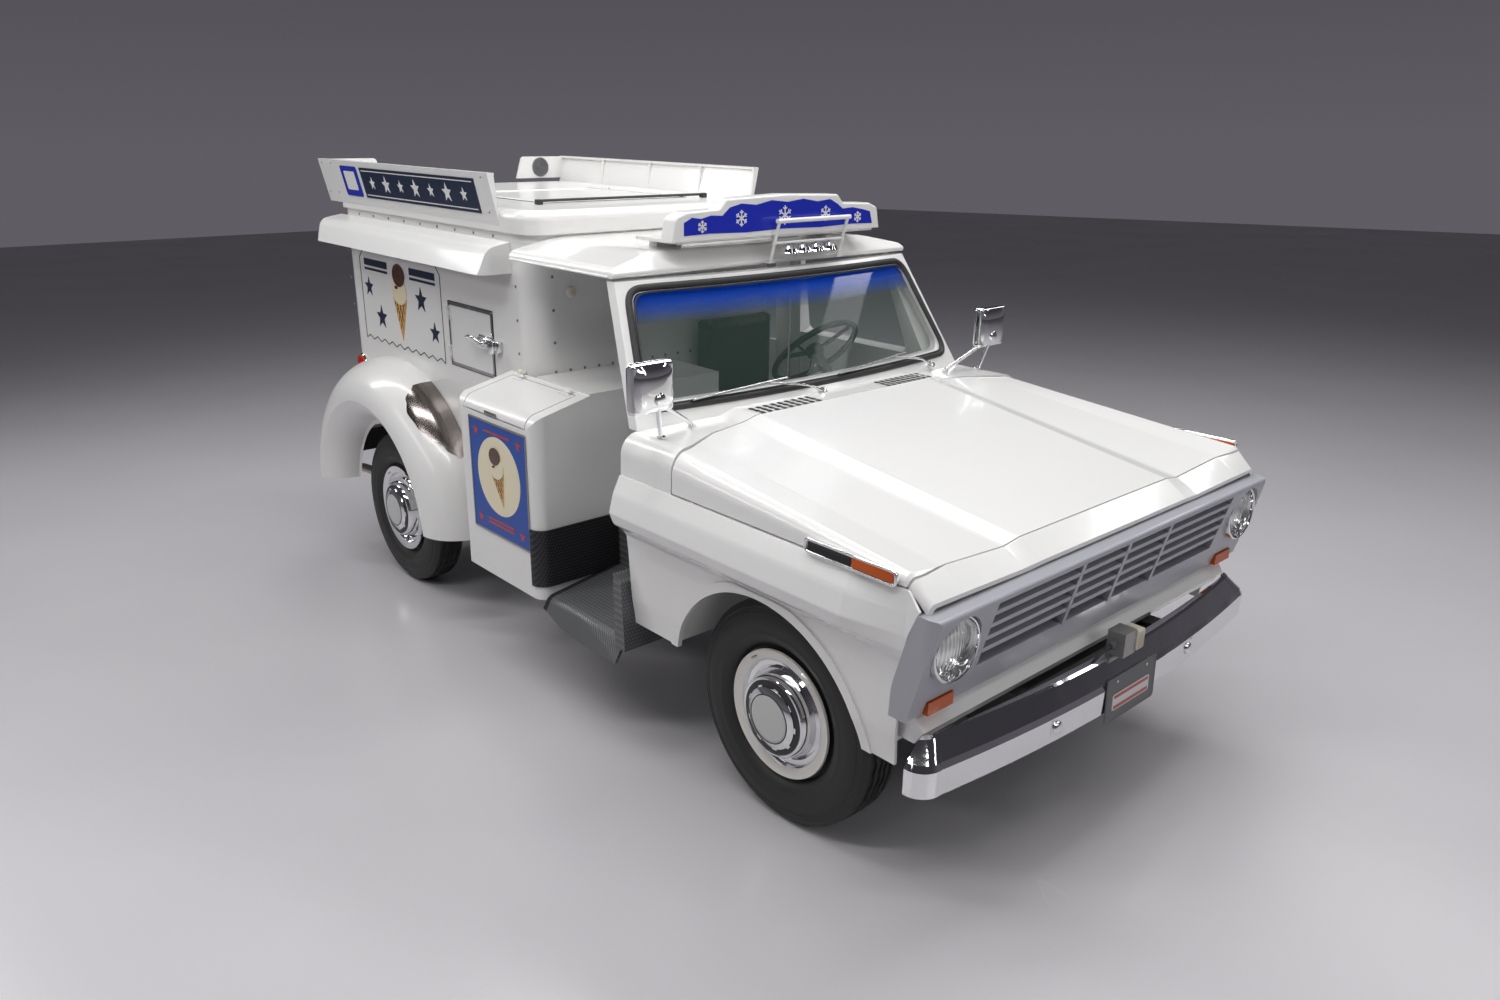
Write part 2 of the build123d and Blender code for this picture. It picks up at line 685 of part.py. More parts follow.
def make_bells():
    # Half section as (radius, height) below the bar
    profile = [(0, -5.3), (4, -5.3), (4, -10), (20, -14), (30, -23), (35, -36), (37, -40), (37, -43),
               (32, -43), (27, -25), (17, -18), (0, -14)]
    bell = revolve(make_face(Polyline([(r, 0, z) for r, z in profile], close=True)), axis=Axis.Z)
    bells = None
    for y in (20, 96, 172, 248):
        placed = Pos(bell_x, y, bell_bar_z) * bell
        bells = placed if bells is None else bells + placed
    return bells


def make_grille():
    line = [(660, 1016), (708, 1012, 14), (700, 980, 40), (622, 690, 10), (560, 690), (560, 1016)]
    plan = [(500, -960), (720, -960, 60), (720, 960, 60), (500, 960)]
    shell = slab_y(line, -960, 960) & slab_z(plan, 600, 1100)
    shell -= slab_y([(730, 995), (730, 785), (500, 785), (500, 995)], -692, 692)
    shell -= block(500, 596, -850, 850, 600, 1100)
    behind = [(x + seat_gap, *rest) for x, *rest in shell_line] + [(650, 1100), (400, 1100), (400, 480)]
    for side in (-1, 1):
        shell -= slab_y(behind, side * 850, side * 1000)
    for side in (-1, 1):
        shell -= rod((600, side * 836, 896), (760, side * 836, 896), 100)
        shell -= block(600, 720, side * 775, side * 892, 690, 735)
    for row in range(4):
        z = 830 + row * 42
        front = 625 + (z - 690) * 0.26
        shell += slab_y([(front, z), (600, z + 8), (600, z + 16), (front, z + 12)], -695, 695)
    for y in (-260, 0, 260):
        shell += slab_y([(600, 780), (650, 780), (704, 1000), (600, 1000)], y - 9, y + 9)
    return shell


def make_headlamps():
    back = 600 + seat_gap
    profile = [(back, 0), (back, 89), (648, 89), (660, 70), (668, 45), (672, 20), (673, 0)]
    lens = revolve(make_face(Polyline([(x, r, 0) for x, r in profile], close=True)), axis=Axis.X)
    return both_sides(Pos(0, 836, 896) * lens)


def make_signal_lamps():
    lamp = block(600 + seat_gap, 640, 778, 889, 693, 732)
    rear_lamp = rod((box_rear - 30, 560, 860), (box_rear - seat_gap, 560, 860), 55)
    marker_x = box_rear + 113
    side_lamp = rod((marker_x, box_side + seat_gap, 979), (marker_x, box_side + 22, 979), 38)
    return both_sides(lamp + rear_lamp + side_lamp)


def make_valance():
    return slab_y([(590, 689), (540, 689), (540, 590), (600, 590), (628, 632)], -888, 888)


bumper_back = 618


# Plan of the bumper moved in by an amount: bowed front, rounded corners, straight back
def bumper_plan(inset, z):
    nose, corner, turn, end = 765 - inset, 703 - inset, 890 - inset, 962 - inset
    front = ThreePointArc((corner, -turn, z), (nose, 0, z), (corner, turn, z))
    left = ThreePointArc((corner, turn, z), (corner - 16, end - 20, z), (bumper_back, end, z))
    right = ThreePointArc((bumper_back, -end, z), (corner - 16, -end + 20, z), (corner, -turn, z))
    return make_face([front, left, Line((bumper_back, end, z), (bumper_back, -end, z)), right])


def make_bumper():
    # Inset and height of each level: tucked-in foot, upright face, then the top leaning back
    levels = ((5, 470), (0, 476), (0, 556), (8, 574), (46, 624), (54, 630))
    outer = loft([bumper_plan(inset, z) for inset, z in levels], ruled=True)
    inner_levels = ((14, 460), (9, 476), (9, 552), (17, 567), (55, 617))
    inner = loft([bumper_plan(inset, z) for inset, z in inner_levels], ruled=True)
    bumper = outer - inner - block(bumper_back - 20, bumper_back + 12, -1000, 1000, 400, 700)
    # Open top behind the lip
    lip = ThreePointArc((640, -870, 600), (688, 0, 600), (640, 870, 600))
    back = Polyline(lip @ 1, (580, 870, 600), (580, -870, 600), lip @ 0)
    bumper -= extrude(make_face([lip, back]), amount=60, dir=(0, 0, 1))
    for side in (-1, 1):
        bumper += block(rail_front + seat_gap, 752, side * 380, side * rail_outer, 500, 550)
    return bumper


def make_inlet():
    return block(690, 752, -50, 20, 630 + seat_gap, 712)


def make_box_floor():
    inset = box_wall + seat_gap
    floor = block(box_rear + inset, box_front - inset, -box_side + inset, box_side - inset, box_bottom,
                  box_floor_top)
    for x in (-1800, -2200, -2600, box_rear + 240):
        floor += block(x - 35, x + 35, -550, 550, rail_top + seat_gap, box_bottom + 2)
    return floor


def end_wall(front):
    face = box_front if front else box_rear
    inward = -1 if front else 1
    r = corner_radius
    s, w = box_side, box_wall
    k = r * (1 - cos(radians(45)))
    a = Line((face, -s + r, 0), (face, s - r, 0))
    b = ThreePointArc(a @ 1, (face + inward * k, s - k, 0), (face + inward * r, s, 0))
    c = Polyline(b @ 1, (face + inward * r, s - w, 0), (face + inward * w, s - w, 0),
                 (face + inward * w, -s + w, 0), (face + inward * r, -s + w, 0), (face + inward * r, -s, 0))
    d = ThreePointArc(c @ 1, (face + inward * k, -s + k, 0), a @ 0)
    wall = extrude(make_face([a, b, c, d]), amount=box_top - box_bottom, dir=(0, 0, 1))
    return Pos(0, 0, box_bottom) * wall


def make_box_front():
    return end_wall(True)


def plug_door_y(margin, y_out, y_in):
    x0, x1, z0, z1 = side_door
    m = margin
    t = door_taper + m
    outer = outline_face(oblong(x0 + m, x1 - m, z0 + m, z1 - m), lambda x, z: (x, y_out, z))
    inner = outline_face(oblong(x0 + t, x1 - t, z0 + t, z1 - t), lambda x, z: (x, y_in, z))
    return loft([outer, inner])


def make_box_side(side):
    x0 = box_rear + corner_radius + seat_gap
    x1 = box_front - corner_radius - seat_gap
    wall = block(x0, x1, side * (box_side - box_wall), side * box_side, box_bottom, box_top)
    if side < 0:
        wall -= plug_door_y(0, -box_side, -box_side + box_wall)
        for hinge_pair in side_door_hinges():
            wall += hinge_pair[0]
    return wall


def side_door_hinges():
    x = side_door[0] + swing_gap / 2
    return [hinge((x, -box_side, z), (1, 0, 0), (0, 0, -1)) for z in (side_door[2] + 60, side_door[3] - 60)]


def make_side_door():
    door = plug_door_y(swing_gap, -box_side, -box_side + box_wall)
    for hinge_pair in side_door_hinges():
        door += hinge_pair[1]
    return door


def rear_door_hinges():
    y = rear_door[1] - swing_gap / 2
    heights = (rear_door[2] + 120, rear_door[3] - 120)
    return [hinge((box_rear, y, z), (0, -1, 0), (0, 0, -1), 90) for z in heights]


def make_rear_wall():
    wall = end_wall(False) - plug_rear(0)
    for hinge_pair in rear_door_hinges():
        wall += hinge_pair[0]
    return wall


def make_rear_door():
    door = plug_rear(swing_gap)
    for hinge_pair in rear_door_hinges():
        door += hinge_pair[1]
    return door


def hatch_hinges():
    y = hatch[2] - swing_gap / 2
    top = box_top + roof_thick
    return [hinge((x, y, top), (0, -1, 0), (-1, 0, 0)) for x in (hatch[0] + 150, hatch[1] - 150)]


def make_hatch():
    lid = plug_hatch(swing_gap)
    for hinge_pair in hatch_hinges():
        lid += hinge_pair[1]
    return lid


def plug_rear(margin):
    y0, y1, z0, z1 = rear_door
    m, t = margin, margin + door_taper
    outer = outline_face(oblong(y0 + m, y1 - m, z0 + m, z1 - m), lambda y, z: (box_rear, y, z))
    inner = outline_face(oblong(y0 + t, y1 - t, z0 + t, z1 - t), lambda y, z: (box_rear + box_wall, y, z))
    return loft([outer, inner])


def plug_hatch(margin):
    x0, x1, half = hatch
    m, t = margin, margin + door_taper
    z1, z0 = box_top + roof_thick, box_top
    outer = outline_face(oblong(x0 + m, x1 - m, -half + m, half - m), lambda x, y: (x, y, z1))
    inner = outline_face(oblong(x0 + t, x1 - t, -half + t, half - t), lambda x, y: (x, y, z0))
    return loft([inner, outer])


def make_box_roof():
    z0 = box_top + seat_gap
    over = 15
    half = box_side + over
    roof = block(box_rear - over, box_front + over, -half, half, z0, box_top + roof_thick)
    roof = fillet(roof.edges().filter_by(Axis.Z), corner_radius)
    roof = fillet(roof.faces().sort_by(Axis.Z)[-1].edges(), 40)
    roof -= plug_hatch(0)
    for hinge_pair in hatch_hinges():
        roof += hinge_pair[0]
    return roof


def make_front_cabinet():
    cabinet = block(box_front + seat_gap, cabinet_front, -box_side, -20, floor_top + seat_gap, cabinet_top)
    return cabinet


# Section of a side locker as (y, z): a sloping top that rolls over into the outer panel
def locker_section(inset):
    i = inset
    wall = -box_side - seat_gap - i
    return [(wall, locker_bottom + i), (wall, 1198 - i), (-locker_side + i, 1198 - lid_fall - i, 62 - i),
            (-locker_side + i, locker_bottom + i)]


# Locker as one solid, with its outer upright edges rounded
def locker_solid(inset, x0, x1):
    i = inset
    out = -locker_side + i
    plan = [(x0 + i, -600), (x0 + i, out, 30 - i * 0.9), (x1 - i, out, locker_round - i), (x1 - i, -600)]
    return slab_x(locker_section(i), x0 + i, x1 - i) & slab_z(plan, 300, 1300)


def lid_region(x0, x1, margin):
    return block(x0 + 50 + margin, x1 - 60 - margin, -990, -box_side - lid_edge - margin, 1090 + margin, 1300)


def lid_hinges(x0, x1):
    run = locker_side - box_side
    slope = Vector(0, -run, -lid_fall).normalized()
    y = -box_side - lid_edge - swing_gap / 2
    z = 1198 - (lid_edge + swing_gap / 2 - seat_gap) * lid_fall / (run - seat_gap)
    return [hinge((x, y, z), tuple(slope), (-1, 0, 0)) for x in (x0 + 120, x1 - 120)]


def make_locker(x0, x1):
    box = locker_solid(0, x0, x1) - locker_solid(locker_skin, x0, x1)
    box -= lid_region(x0, x1, 0)
    for hinge_pair in lid_hinges(x0, x1):
        box += hinge_pair[0]
    return box


def make_lid(x0, x1):
    shell = locker_solid(0, x0, x1) - locker_solid(locker_skin - 4, x0, x1)
    lid = shell & lid_region(x0, x1, swing_gap)
    for hinge_pair in lid_hinges(x0, x1):
        lid += hinge_pair[1]
    return lid


def make_rear_fender():
    # Turned round the wheel: lip, bulge and crown as (radius, y)
    r, y = rear_lip_radius, fender_lip
    lip = Line((r, y, 0), (r + 18, y + 4, 0))
    side = ThreePointArc(lip @ 1, (r + 70, 880, 0), (r + 130, 920, 0))
    crown = ThreePointArc(side @ 1, (r + 230, 890, 0), (r + 318, box_side + seat_gap, 0))
    top = Line(crown @ 1, (r + 308, box_side + seat_gap, 0))
    crown_in = ThreePointArc(top @ 1, (r + 222, 882, 0), (r + 130, 910, 0))
    side_in = ThreePointArc(crown_in @ 1, (r + 78, 872, 0), (r + 26, y, 0))
    end = Line(side_in @ 1, lip @ 0)
    face = make_face([lip, side, crown, top, crown_in, side_in, end])
    ring = revolve(face, axis=Axis.Y)
    ring -= block(-900, 900, 600, 1000, -900, 60)
    return Pos(arch_centre_x, 0, rear_axle_z) * ring


def make_step():
    y0 = step_inner
    rolled = [(y0, 470), (y0, 460), (-900, 402, 40), (-948, 330), (-960, 330), (-912, 414, 45)]
    tread = slab_x(rolled, cabinet_front, step_front)
    # The skirt hangs lower in the middle
    hang = [(cabinet_front - 5, 300), (cabinet_front - 5, 368), (-1110, 340, 60), (step_front + 5, 318),
            (step_front + 5, 300)]
    tread -= slab_y(hang, -1000, -900)
    riser = block(cabinet_front, step_front, y0 - 12, y0 - seat_gap, 460, floor_top)
    # Plate on the locker's front face, wrapped round its corner
    face, side = cabinet_front + seat_gap, -locker_side - seat_gap
    thick = 7
    outer = [(-1305, -565), (-1305, side - thick), (face + thick, side - thick, locker_round + thick),
             (face + thick, -565)]
    kick = slab_z(outer, 452, 690)
    inner = [(-1310, -560), (-1310, side), (face, side, locker_round + seat_gap), (face, -560)]
    kick -= slab_z(inner, 450, 700)
    front = step_front
    flap = slab_y([(front, 400), (front + 60, 400), (front + 45, 665), (front, 690)], -955, -700)
    return tread + riser + kick + flap


def make_awning():
    # Rolled-over visor with closed, rounded ends
    wall = box_side + seat_gap
    shell = [(wall, 1738), (790, 1718, 60), (826, awning_low, 0), (wall, awning_low)]
    hollow = [(wall - 5, 1728), (783, 1710, 54), (817, awning_low - 5), (wall - 5, awning_low - 5)]
    x0, x1 = box_rear + 5, box_front - 155
    plan = [(x0, wall), (x0, 840, 70), (x1, 840, 70), (x1, wall)]
    plan_in = [(x0 + 9, wall - 5), (x0 + 9, 831, 62), (x1 - 9, 831, 62), (x1 - 9, wall - 5)]
    visor = slab_x(shell, x0, x1) & slab_z(plan, 1500, 1800)
    return visor - (slab_x(hollow, x0, x1) & slab_z(plan_in, 1500, 1800))


def make_sign_board():
    # Leaning board with a turned-in edge all round, ribs on its inner face and a return plate at its rear end
    foot, head = (box_side + 15.3, 1800), (742, 2008)
    x0, x1 = box_rear - 70, box_front - 205
    board = slab_x([foot, head, (708, head[1]), (708, 1998), (725.8, 1998), (foot[0], 1862)], x0, x1)
    for x in (x0 + 430, x0 + 860, x0 + 1290, x1 - 12):
        board += slab_x([(698, 1868), (728, 2000), (710, 2000), (698, 1878)], x, x + 12)
    board += slab_x([(706, 1886), (734, 2006), (440, 2006, 20), (400, 1886)], x0, x0 + 12)
    return board


def make_rear_bumper():
    bar = block(rail_rear - 120, rail_rear - 60, -800, 800, 440, 560)
    for side in (-1, 1):
        bar += block(rail_rear - 62, rail_rear - seat_gap, side * 380, side * 420, 470, 540)
    return bar


def stand(shape):
    leaned = Pos(0, 0, tyre_radius) * Rot(0, rake, 0) * Pos(0, 0, -tyre_radius) * shape
    return leaned


pieces = {
    "frame_rails": make_frame(),
    "front_axle_beams": make_front_beams(),
    "steering_knuckle_right": make_knuckle(-1),
    "steering_knuckle_left": make_knuckle(1),
    "tie_rod": make_tie_rod(),
    "springs": make_springs(),
    "rear_axle": make_rear_axle(),
    "engine_block": make_engine(),
    "exhaust_pipe": make_exhaust(),
    "front_fender_right": other_side(make_front_fender()),
    "front_fender_left": make_front_fender() + door_hinge_lugs(),
    "hood": make_hood(),
    "nose_panel": make_nose_panel(),
    "hood_side_markers": make_side_markers(),
    "cowl": make_cowl(),
    "windshield": make_windshield(),
    "cab_roof": make_roof(),
    "driver_door": make_door(),
    "cab_corner_left": make_corner_left(),
    "cab_floor": make_floor(),
    "dashboard": make_dash(),
    "steering_wheel": make_steering_wheel(),
    "seat_cushion": make_seat_cushion(),
    "seat_back": make_seat_back(),
    "mirrors": make_mirrors(),
    "roof_sign": make_roof_sign(),
    "bell_rack": make_bell_rack(),
    "bells": make_bells(),
    "grille": make_grille(),
    "headlamps": make_headlamps(),
    "signal_lamps": make_signal_lamps(),
    "front_valance": make_valance(),
    "front_bumper": make_bumper(),
    "power_inlet": make_inlet(),
    "box_floor": make_box_floor(),
    "box_front_wall": make_box_front(),
    "box_rear_wall": make_rear_wall(),
    "box_side_right": make_box_side(-1),
    "box_side_left": make_box_side(1),
    "box_roof": make_box_roof(),
    "front_cabinet": make_front_cabinet(),
    "freezer_door_right": make_side_door(),
    "rear_door": make_rear_door(),
    "roof_hatch": make_hatch(),
    "side_lockers": make_locker(*locker_right) + other_side(make_locker(*locker_left)),
    "locker_lid_right": make_lid(*locker_right),
    "locker_lid_left": other_side(make_lid(*locker_left)),
    "rear_fenders": both_sides(make_rear_fender()),
    "side_step": make_step(),
    "awnings": both_sides(make_awning()),
    "sign_boards": both_sides(make_sign_board()),
    "rear_bumper": make_rear_bumper(),
}
for corner in wheel_places:
    pieces["wheel_disc_" + corner] = at_wheel(make_disc(), corner)
    pieces["tyre_" + corner] = at_wheel(make_tyre(), corner)

# The origin is on the ground below the middle of the whole truck
standing = {name: stand(shape) for name, shape in pieces.items()}
lows = [shape.bounding_box().min.X for shape in standing.values()]
highs = [shape.bounding_box().max.X for shape in standing.values()]
origin_x = (min(lows) + max(highs)) / 2

os.makedirs("parts", exist_ok=True)
for name, shape in standing.items():
    export_step(Pos(-origin_x, 0, 0) * shape, "parts/" + name + ".step")
print("pieces", len(standing), "front axle at", round(-origin_x, 1))
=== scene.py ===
import math

import bpy
from mathutils import Matrix, Vector


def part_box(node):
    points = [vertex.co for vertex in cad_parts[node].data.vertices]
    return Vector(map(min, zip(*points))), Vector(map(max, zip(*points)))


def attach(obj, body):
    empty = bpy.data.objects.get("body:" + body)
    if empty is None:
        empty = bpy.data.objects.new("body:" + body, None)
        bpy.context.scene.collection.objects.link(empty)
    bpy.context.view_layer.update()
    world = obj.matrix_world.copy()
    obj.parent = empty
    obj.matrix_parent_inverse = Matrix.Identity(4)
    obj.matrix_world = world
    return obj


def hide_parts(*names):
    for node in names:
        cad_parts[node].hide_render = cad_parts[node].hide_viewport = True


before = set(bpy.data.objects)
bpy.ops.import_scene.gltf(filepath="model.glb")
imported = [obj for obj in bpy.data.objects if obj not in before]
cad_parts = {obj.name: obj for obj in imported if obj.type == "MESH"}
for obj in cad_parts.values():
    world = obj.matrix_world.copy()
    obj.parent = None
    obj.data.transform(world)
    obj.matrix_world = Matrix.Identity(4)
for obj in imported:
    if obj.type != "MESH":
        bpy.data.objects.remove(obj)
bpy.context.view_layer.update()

# The truck was drawn level and leans nose down: pieces are placed on the level drawing, then leaned
stance = {"lean": 2.0, "hubHeight": 0.395}
lowCorner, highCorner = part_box("wheel_disc_front_right")
axleX = (lowCorner.x + highCorner.x) / 2
leanMatrix = (Matrix.Translation((axleX, 0, stance["hubHeight"]))
              @ Matrix.Rotation(math.radians(stance["lean"]), 4, "Y")
              @ Matrix.Translation((0, 0, -stance["hubHeight"])))
rearHub = leanMatrix.inverted() @ ((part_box("wheel_disc_rear_right")[0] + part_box("wheel_disc_rear_right")[1]) / 2)


# Selecting, shaping and settling

def clearSelection():
    if bpy.context.object and bpy.context.object.mode != "OBJECT":
        bpy.ops.object.mode_set(mode="OBJECT")
    bpy.ops.object.select_all(action="DESELECT")


def pick(piece):
    clearSelection()
    piece.select_set(True)
    bpy.context.view_layer.objects.active = piece


def editAll(piece):
    pick(piece)
    bpy.ops.object.mode_set(mode="EDIT")
    bpy.ops.mesh.select_all(action="SELECT")


def applyModifier(piece, kind, **settings):
    modifier = piece.modifiers.new(kind.title(), kind)
    for key, value in settings.items():
        setattr(modifier, key, value)
    pick(piece)
    bpy.ops.object.modifier_apply(modifier=modifier.name)


def roundedBlock(name, low, high, radius=0.003, segments=2):
    clearSelection()
    middle = [(a + b) / 2 for a, b in zip(low, high)]
    bpy.ops.mesh.primitive_cube_add(size=1, location=middle)
    block = bpy.context.object
    block.name = name
    block.scale = [abs(b - a) for a, b in zip(low, high)]
    bpy.ops.object.transform_apply(location=False, rotation=False, scale=True)
    editAll(block)
    bpy.ops.mesh.bevel(offset=radius, segments=segments, affect="EDGES")
    bpy.ops.object.mode_set(mode="OBJECT")
    return block


axisRadius = 1e-4  # a ring on the axis keeps this much, so that it can be scaled up again


def turned(name, profile, centre=(0, 0, 0), facing="+Z", steps=48):
    clearSelection()
    radius, height = max(profile[0][0], axisRadius), profile[0][1]
    bpy.ops.mesh.primitive_circle_add(vertices=steps, radius=radius, fill_type="NOTHING")
    piece = bpy.context.object
    piece.name = name
    editAll(piece)
    bpy.ops.transform.translate(value=(0, 0, height))
    for nextRadius, nextHeight in profile[1:]:
        bpy.ops.mesh.extrude_region_move(TRANSFORM_OT_translate={"value": (0, 0, nextHeight - height)})
        nextRadius = max(nextRadius, axisRadius)
        grow = nextRadius / radius
        bpy.ops.transform.resize(value=(grow, grow, 1), center_override=(0, 0, nextHeight))
        height, radius = nextHeight, nextRadius
    bpy.ops.mesh.select_all(action="SELECT")
    bpy.ops.mesh.remove_doubles(threshold=0.0003)
    bpy.ops.mesh.normals_make_consistent(inside=False)
    bpy.ops.object.mode_set(mode="OBJECT")
    turns = {"+Z": (0, 0, 0), "-Y": (math.pi / 2, 0, 0), "+Y": (-math.pi / 2, 0, 0), "+X": (0, math.pi / 2, 0),
             "-X": (0, -math.pi / 2, 0), "-Z": (math.pi, 0, 0)}
    piece.rotation_euler = turns[facing]
    piece.location = centre
    return piece


def tube(name, points, radius, closed=False, order=3, sides=3):
    clearSelection()
    bpy.ops.curve.primitive_nurbs_path_add(location=(0, 0, 0))
    path = bpy.context.object
    path.name = name
    path.data.splines.clear()
    spline = path.data.splines.new("POLY" if order == 1 else "NURBS")
    spline.points.add(len(points) - 1)
    for point, place in zip(spline.points, points):
        point.co = (*place, 1)
    spline.use_cyclic_u = closed
    if order > 1:
        spline.order_u = order
        spline.use_endpoint_u = not closed
        spline.resolution_u = 8
    path.data.bevel_depth = radius
    path.data.bevel_resolution = sides
    path.data.use_fill_caps = True
    bpy.ops.object.convert(target="MESH")
    return bpy.context.object


def plate(name, outline, thickness, bevel=0.0):
    clearSelection()
    bpy.ops.mesh.primitive_circle_add(vertices=len(outline), radius=1, fill_type="NGON")
    sheet = bpy.context.object
    sheet.name = name
    for vertex, place in zip(sheet.data.vertices, outline):
        vertex.co = place
    applyModifier(sheet, "SOLIDIFY", thickness=thickness, offset=0)
    if bevel:
        editAll(sheet)
        bpy.ops.mesh.bevel(offset=bevel, segments=2, affect="EDGES")
        bpy.ops.object.mode_set(mode="OBJECT")
    return sheet


def duplicateAt(source, places):
    copies = []
    for place in places:
        copy = source.copy()
        copy.data = source.data.copy()
        bpy.context.collection.objects.link(copy)
        copy.location = Vector(place) + Vector(source.location)
        copies.append(copy)
    bpy.data.objects.remove(source)
    return copies


def joined(name, parts):
    clearSelection()
    for part in parts:
        part.select_set(True)
    bpy.context.view_layer.objects.active = parts[0]
    bpy.ops.object.transform_apply(location=True, rotation=True, scale=True)
    bpy.ops.object.join()
    parts[0].name = name
    return parts[0]


def mirrored(piece, name):
    pick(piece)
    bpy.ops.object.transform_apply(location=True, rotation=True, scale=True)
    copy = piece.copy()
    copy.data = piece.data.copy()
    copy.name = name
    bpy.context.collection.objects.link(copy)
    copy.scale = (1, -1, 1)
    pick(copy)
    bpy.ops.object.transform_apply(location=True, rotation=True, scale=True)
    editAll(copy)
    bpy.ops.mesh.normals_make_consistent(inside=False)
    bpy.ops.object.mode_set(mode="OBJECT")
    return copy


def settle(piece, body, finish, smooth=35):
    pick(piece)
    bpy.ops.object.transform_apply(location=True, rotation=True, scale=True)
    piece.data.transform(leanMatrix)
    bpy.ops.object.shade_smooth_by_angle(angle=math.radians(smooth))
    piece.data.materials.clear()
    piece.data.materials.append(finish)
    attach(piece, body)
    return piece


# Finishes

class Wire:
    def __init__(self, finish, socket):
        self.finish, self.socket = finish, socket

    def maths(self, operation, first, second=None):
        values = [first] if second is None else [first, second]
        return self.finish.node("ShaderNodeMath", {"operation": operation}, dict(enumerate(values)))

    def __add__(self, other):
        return self.maths("ADD", self, other)

    def __sub__(self, other):
        return self.maths("SUBTRACT", self, other)

    def __mul__(self, other):
        return self.maths("MULTIPLY", self, other)

    def __pow__(self, other):
        return self.maths("POWER", self, other)

    def __gt__(self, other):
        return self.maths("GREATER_THAN", self, other)

    def __rsub__(self, other):
        return self.maths("SUBTRACT", other, self)

    def __rpow__(self, other):
        return self.maths("POWER", other, self)

    def __lt__(self, other):
        return self.maths("LESS_THAN", self, other)

    __radd__ = __add__
    __rmul__ = __mul__

    def wave(self):
        return self.maths("SINE", self)

    def held(self):
        return self.finish.node("ShaderNodeClamp", {}, {"Value": self})


class Finish:
    def __init__(self, name, **fixed):
        self.material = bpy.data.materials.new(name)
        self.material.use_nodes = True
        self.tree = self.material.node_tree
        self.shader = self.tree.nodes["Principled BSDF"]
        for key, value in fixed.items():
            socket = self.shader.inputs[spoken[key]]
            socket.default_value = (*value, 1) if isinstance(value, tuple) else value
        place = self.node("ShaderNodeTexCoord", {}, {}, "Object")
        self.place = place
        split = self.tree.nodes.new("ShaderNodeSeparateXYZ")
        self.tree.links.new(place.socket, split.inputs[0])
        self.x, self.y, self.z = (Wire(self, split.outputs[i]) for i in range(3))

    def node(self, kind, settings, values, output=0):
        made = self.tree.nodes.new(kind)
        for key, value in settings.items():
            setattr(made, key, value)
        for key, value in values.items():
            if isinstance(value, Wire):
                self.tree.links.new(value.socket, made.inputs[key])
            else:
                made.inputs[key].default_value = value
        return Wire(self, made.outputs[output])

    def noise(self, scale, detail=3.0, rough=0.5, place=None):
        return self.node("ShaderNodeTexNoise", {}, {"Vector": place or self.place, "Scale": scale,
                                                     "Detail": detail, "Roughness": rough}, "Fac")

    def mix(self, mask, first, second):
        ends = [(*end, 1) if isinstance(end, tuple) else end for end in (first, second)]
        return self.node("ShaderNodeMix", {"data_type": "RGBA"}, {0: mask, 6: ends[0], 7: ends[1]}, 2)

    def ramp(self, value, low, high):
        return self.node("ShaderNodeMapRange", {}, {"Value": value, "From Min": low, "From Max": high})

    def feed(self, **links):
        for key, wire in links.items():
            self.tree.links.new(wire.socket, self.shader.inputs[spoken[key]])

    def bump(self, height, strength, distance=0.001):
        relief = {"Strength": strength, "Distance": distance, "Height": height}
        self.feed(normal=self.node("ShaderNodeBump", {}, relief))


spoken = {"colour": "Base Color", "rough": "Roughness", "metal": "Metallic", "coat": "Coat Weight",
          "coatRough": "Coat Roughness", "alpha": "Alpha", "normal": "Normal", "ior": "IOR",
          "specular": "Specular IOR Level"}


def paintFinish(name, colour, wave=0.02, rough=0.28, coat=0.5, dirt=0.05):
    paint = Finish(name, coat=coat, coatRough=0.08)
    cloud = paint.noise(3.0, 4.0)
    dust = paint.ramp(paint.z, 0.9, 0.25) * paint.noise(9.0, 6.0) * dirt
    base = paint.mix(cloud, colour, tuple(c * 0.965 for c in colour))
    paint.feed(colour=paint.mix(dust.held(), base, (0.36, 0.33, 0.30)), rough=cloud * 0.08 + rough - 0.04)
    paint.bump(paint.noise(7.0, 2.0) + paint.noise(260.0, 1.0) * 0.03, wave, 0.01)
    return paint.material


def metalFinish(name, colour, rough=0.08, scratch=0.04):
    metal = Finish(name, metal=1.0, colour=colour)
    grain = metal.noise(40.0, 5.0)
    metal.feed(rough=grain * scratch + rough, colour=metal.mix(metal.noise(12.0, 3.0), colour,
                                                               tuple(c * 0.9 for c in colour)))
    metal.bump(metal.noise(5.0, 2.0), 0.12, 0.02)
    return metal.material


def dullFinish(name, colour, rough=0.6, spread=0.25, scale=20.0, bump=0.15):
    dull = Finish(name)
    cloud = dull.noise(scale, 5.0)
    dull.feed(colour=dull.mix(cloud, colour, tuple(min(1, c * (1 + spread) + 0.01) for c in colour)),
              rough=cloud * 0.2 + rough - 0.1)
    dull.bump(dull.noise(scale * 12, 3.0), bump, 0.001)
    return dull.material


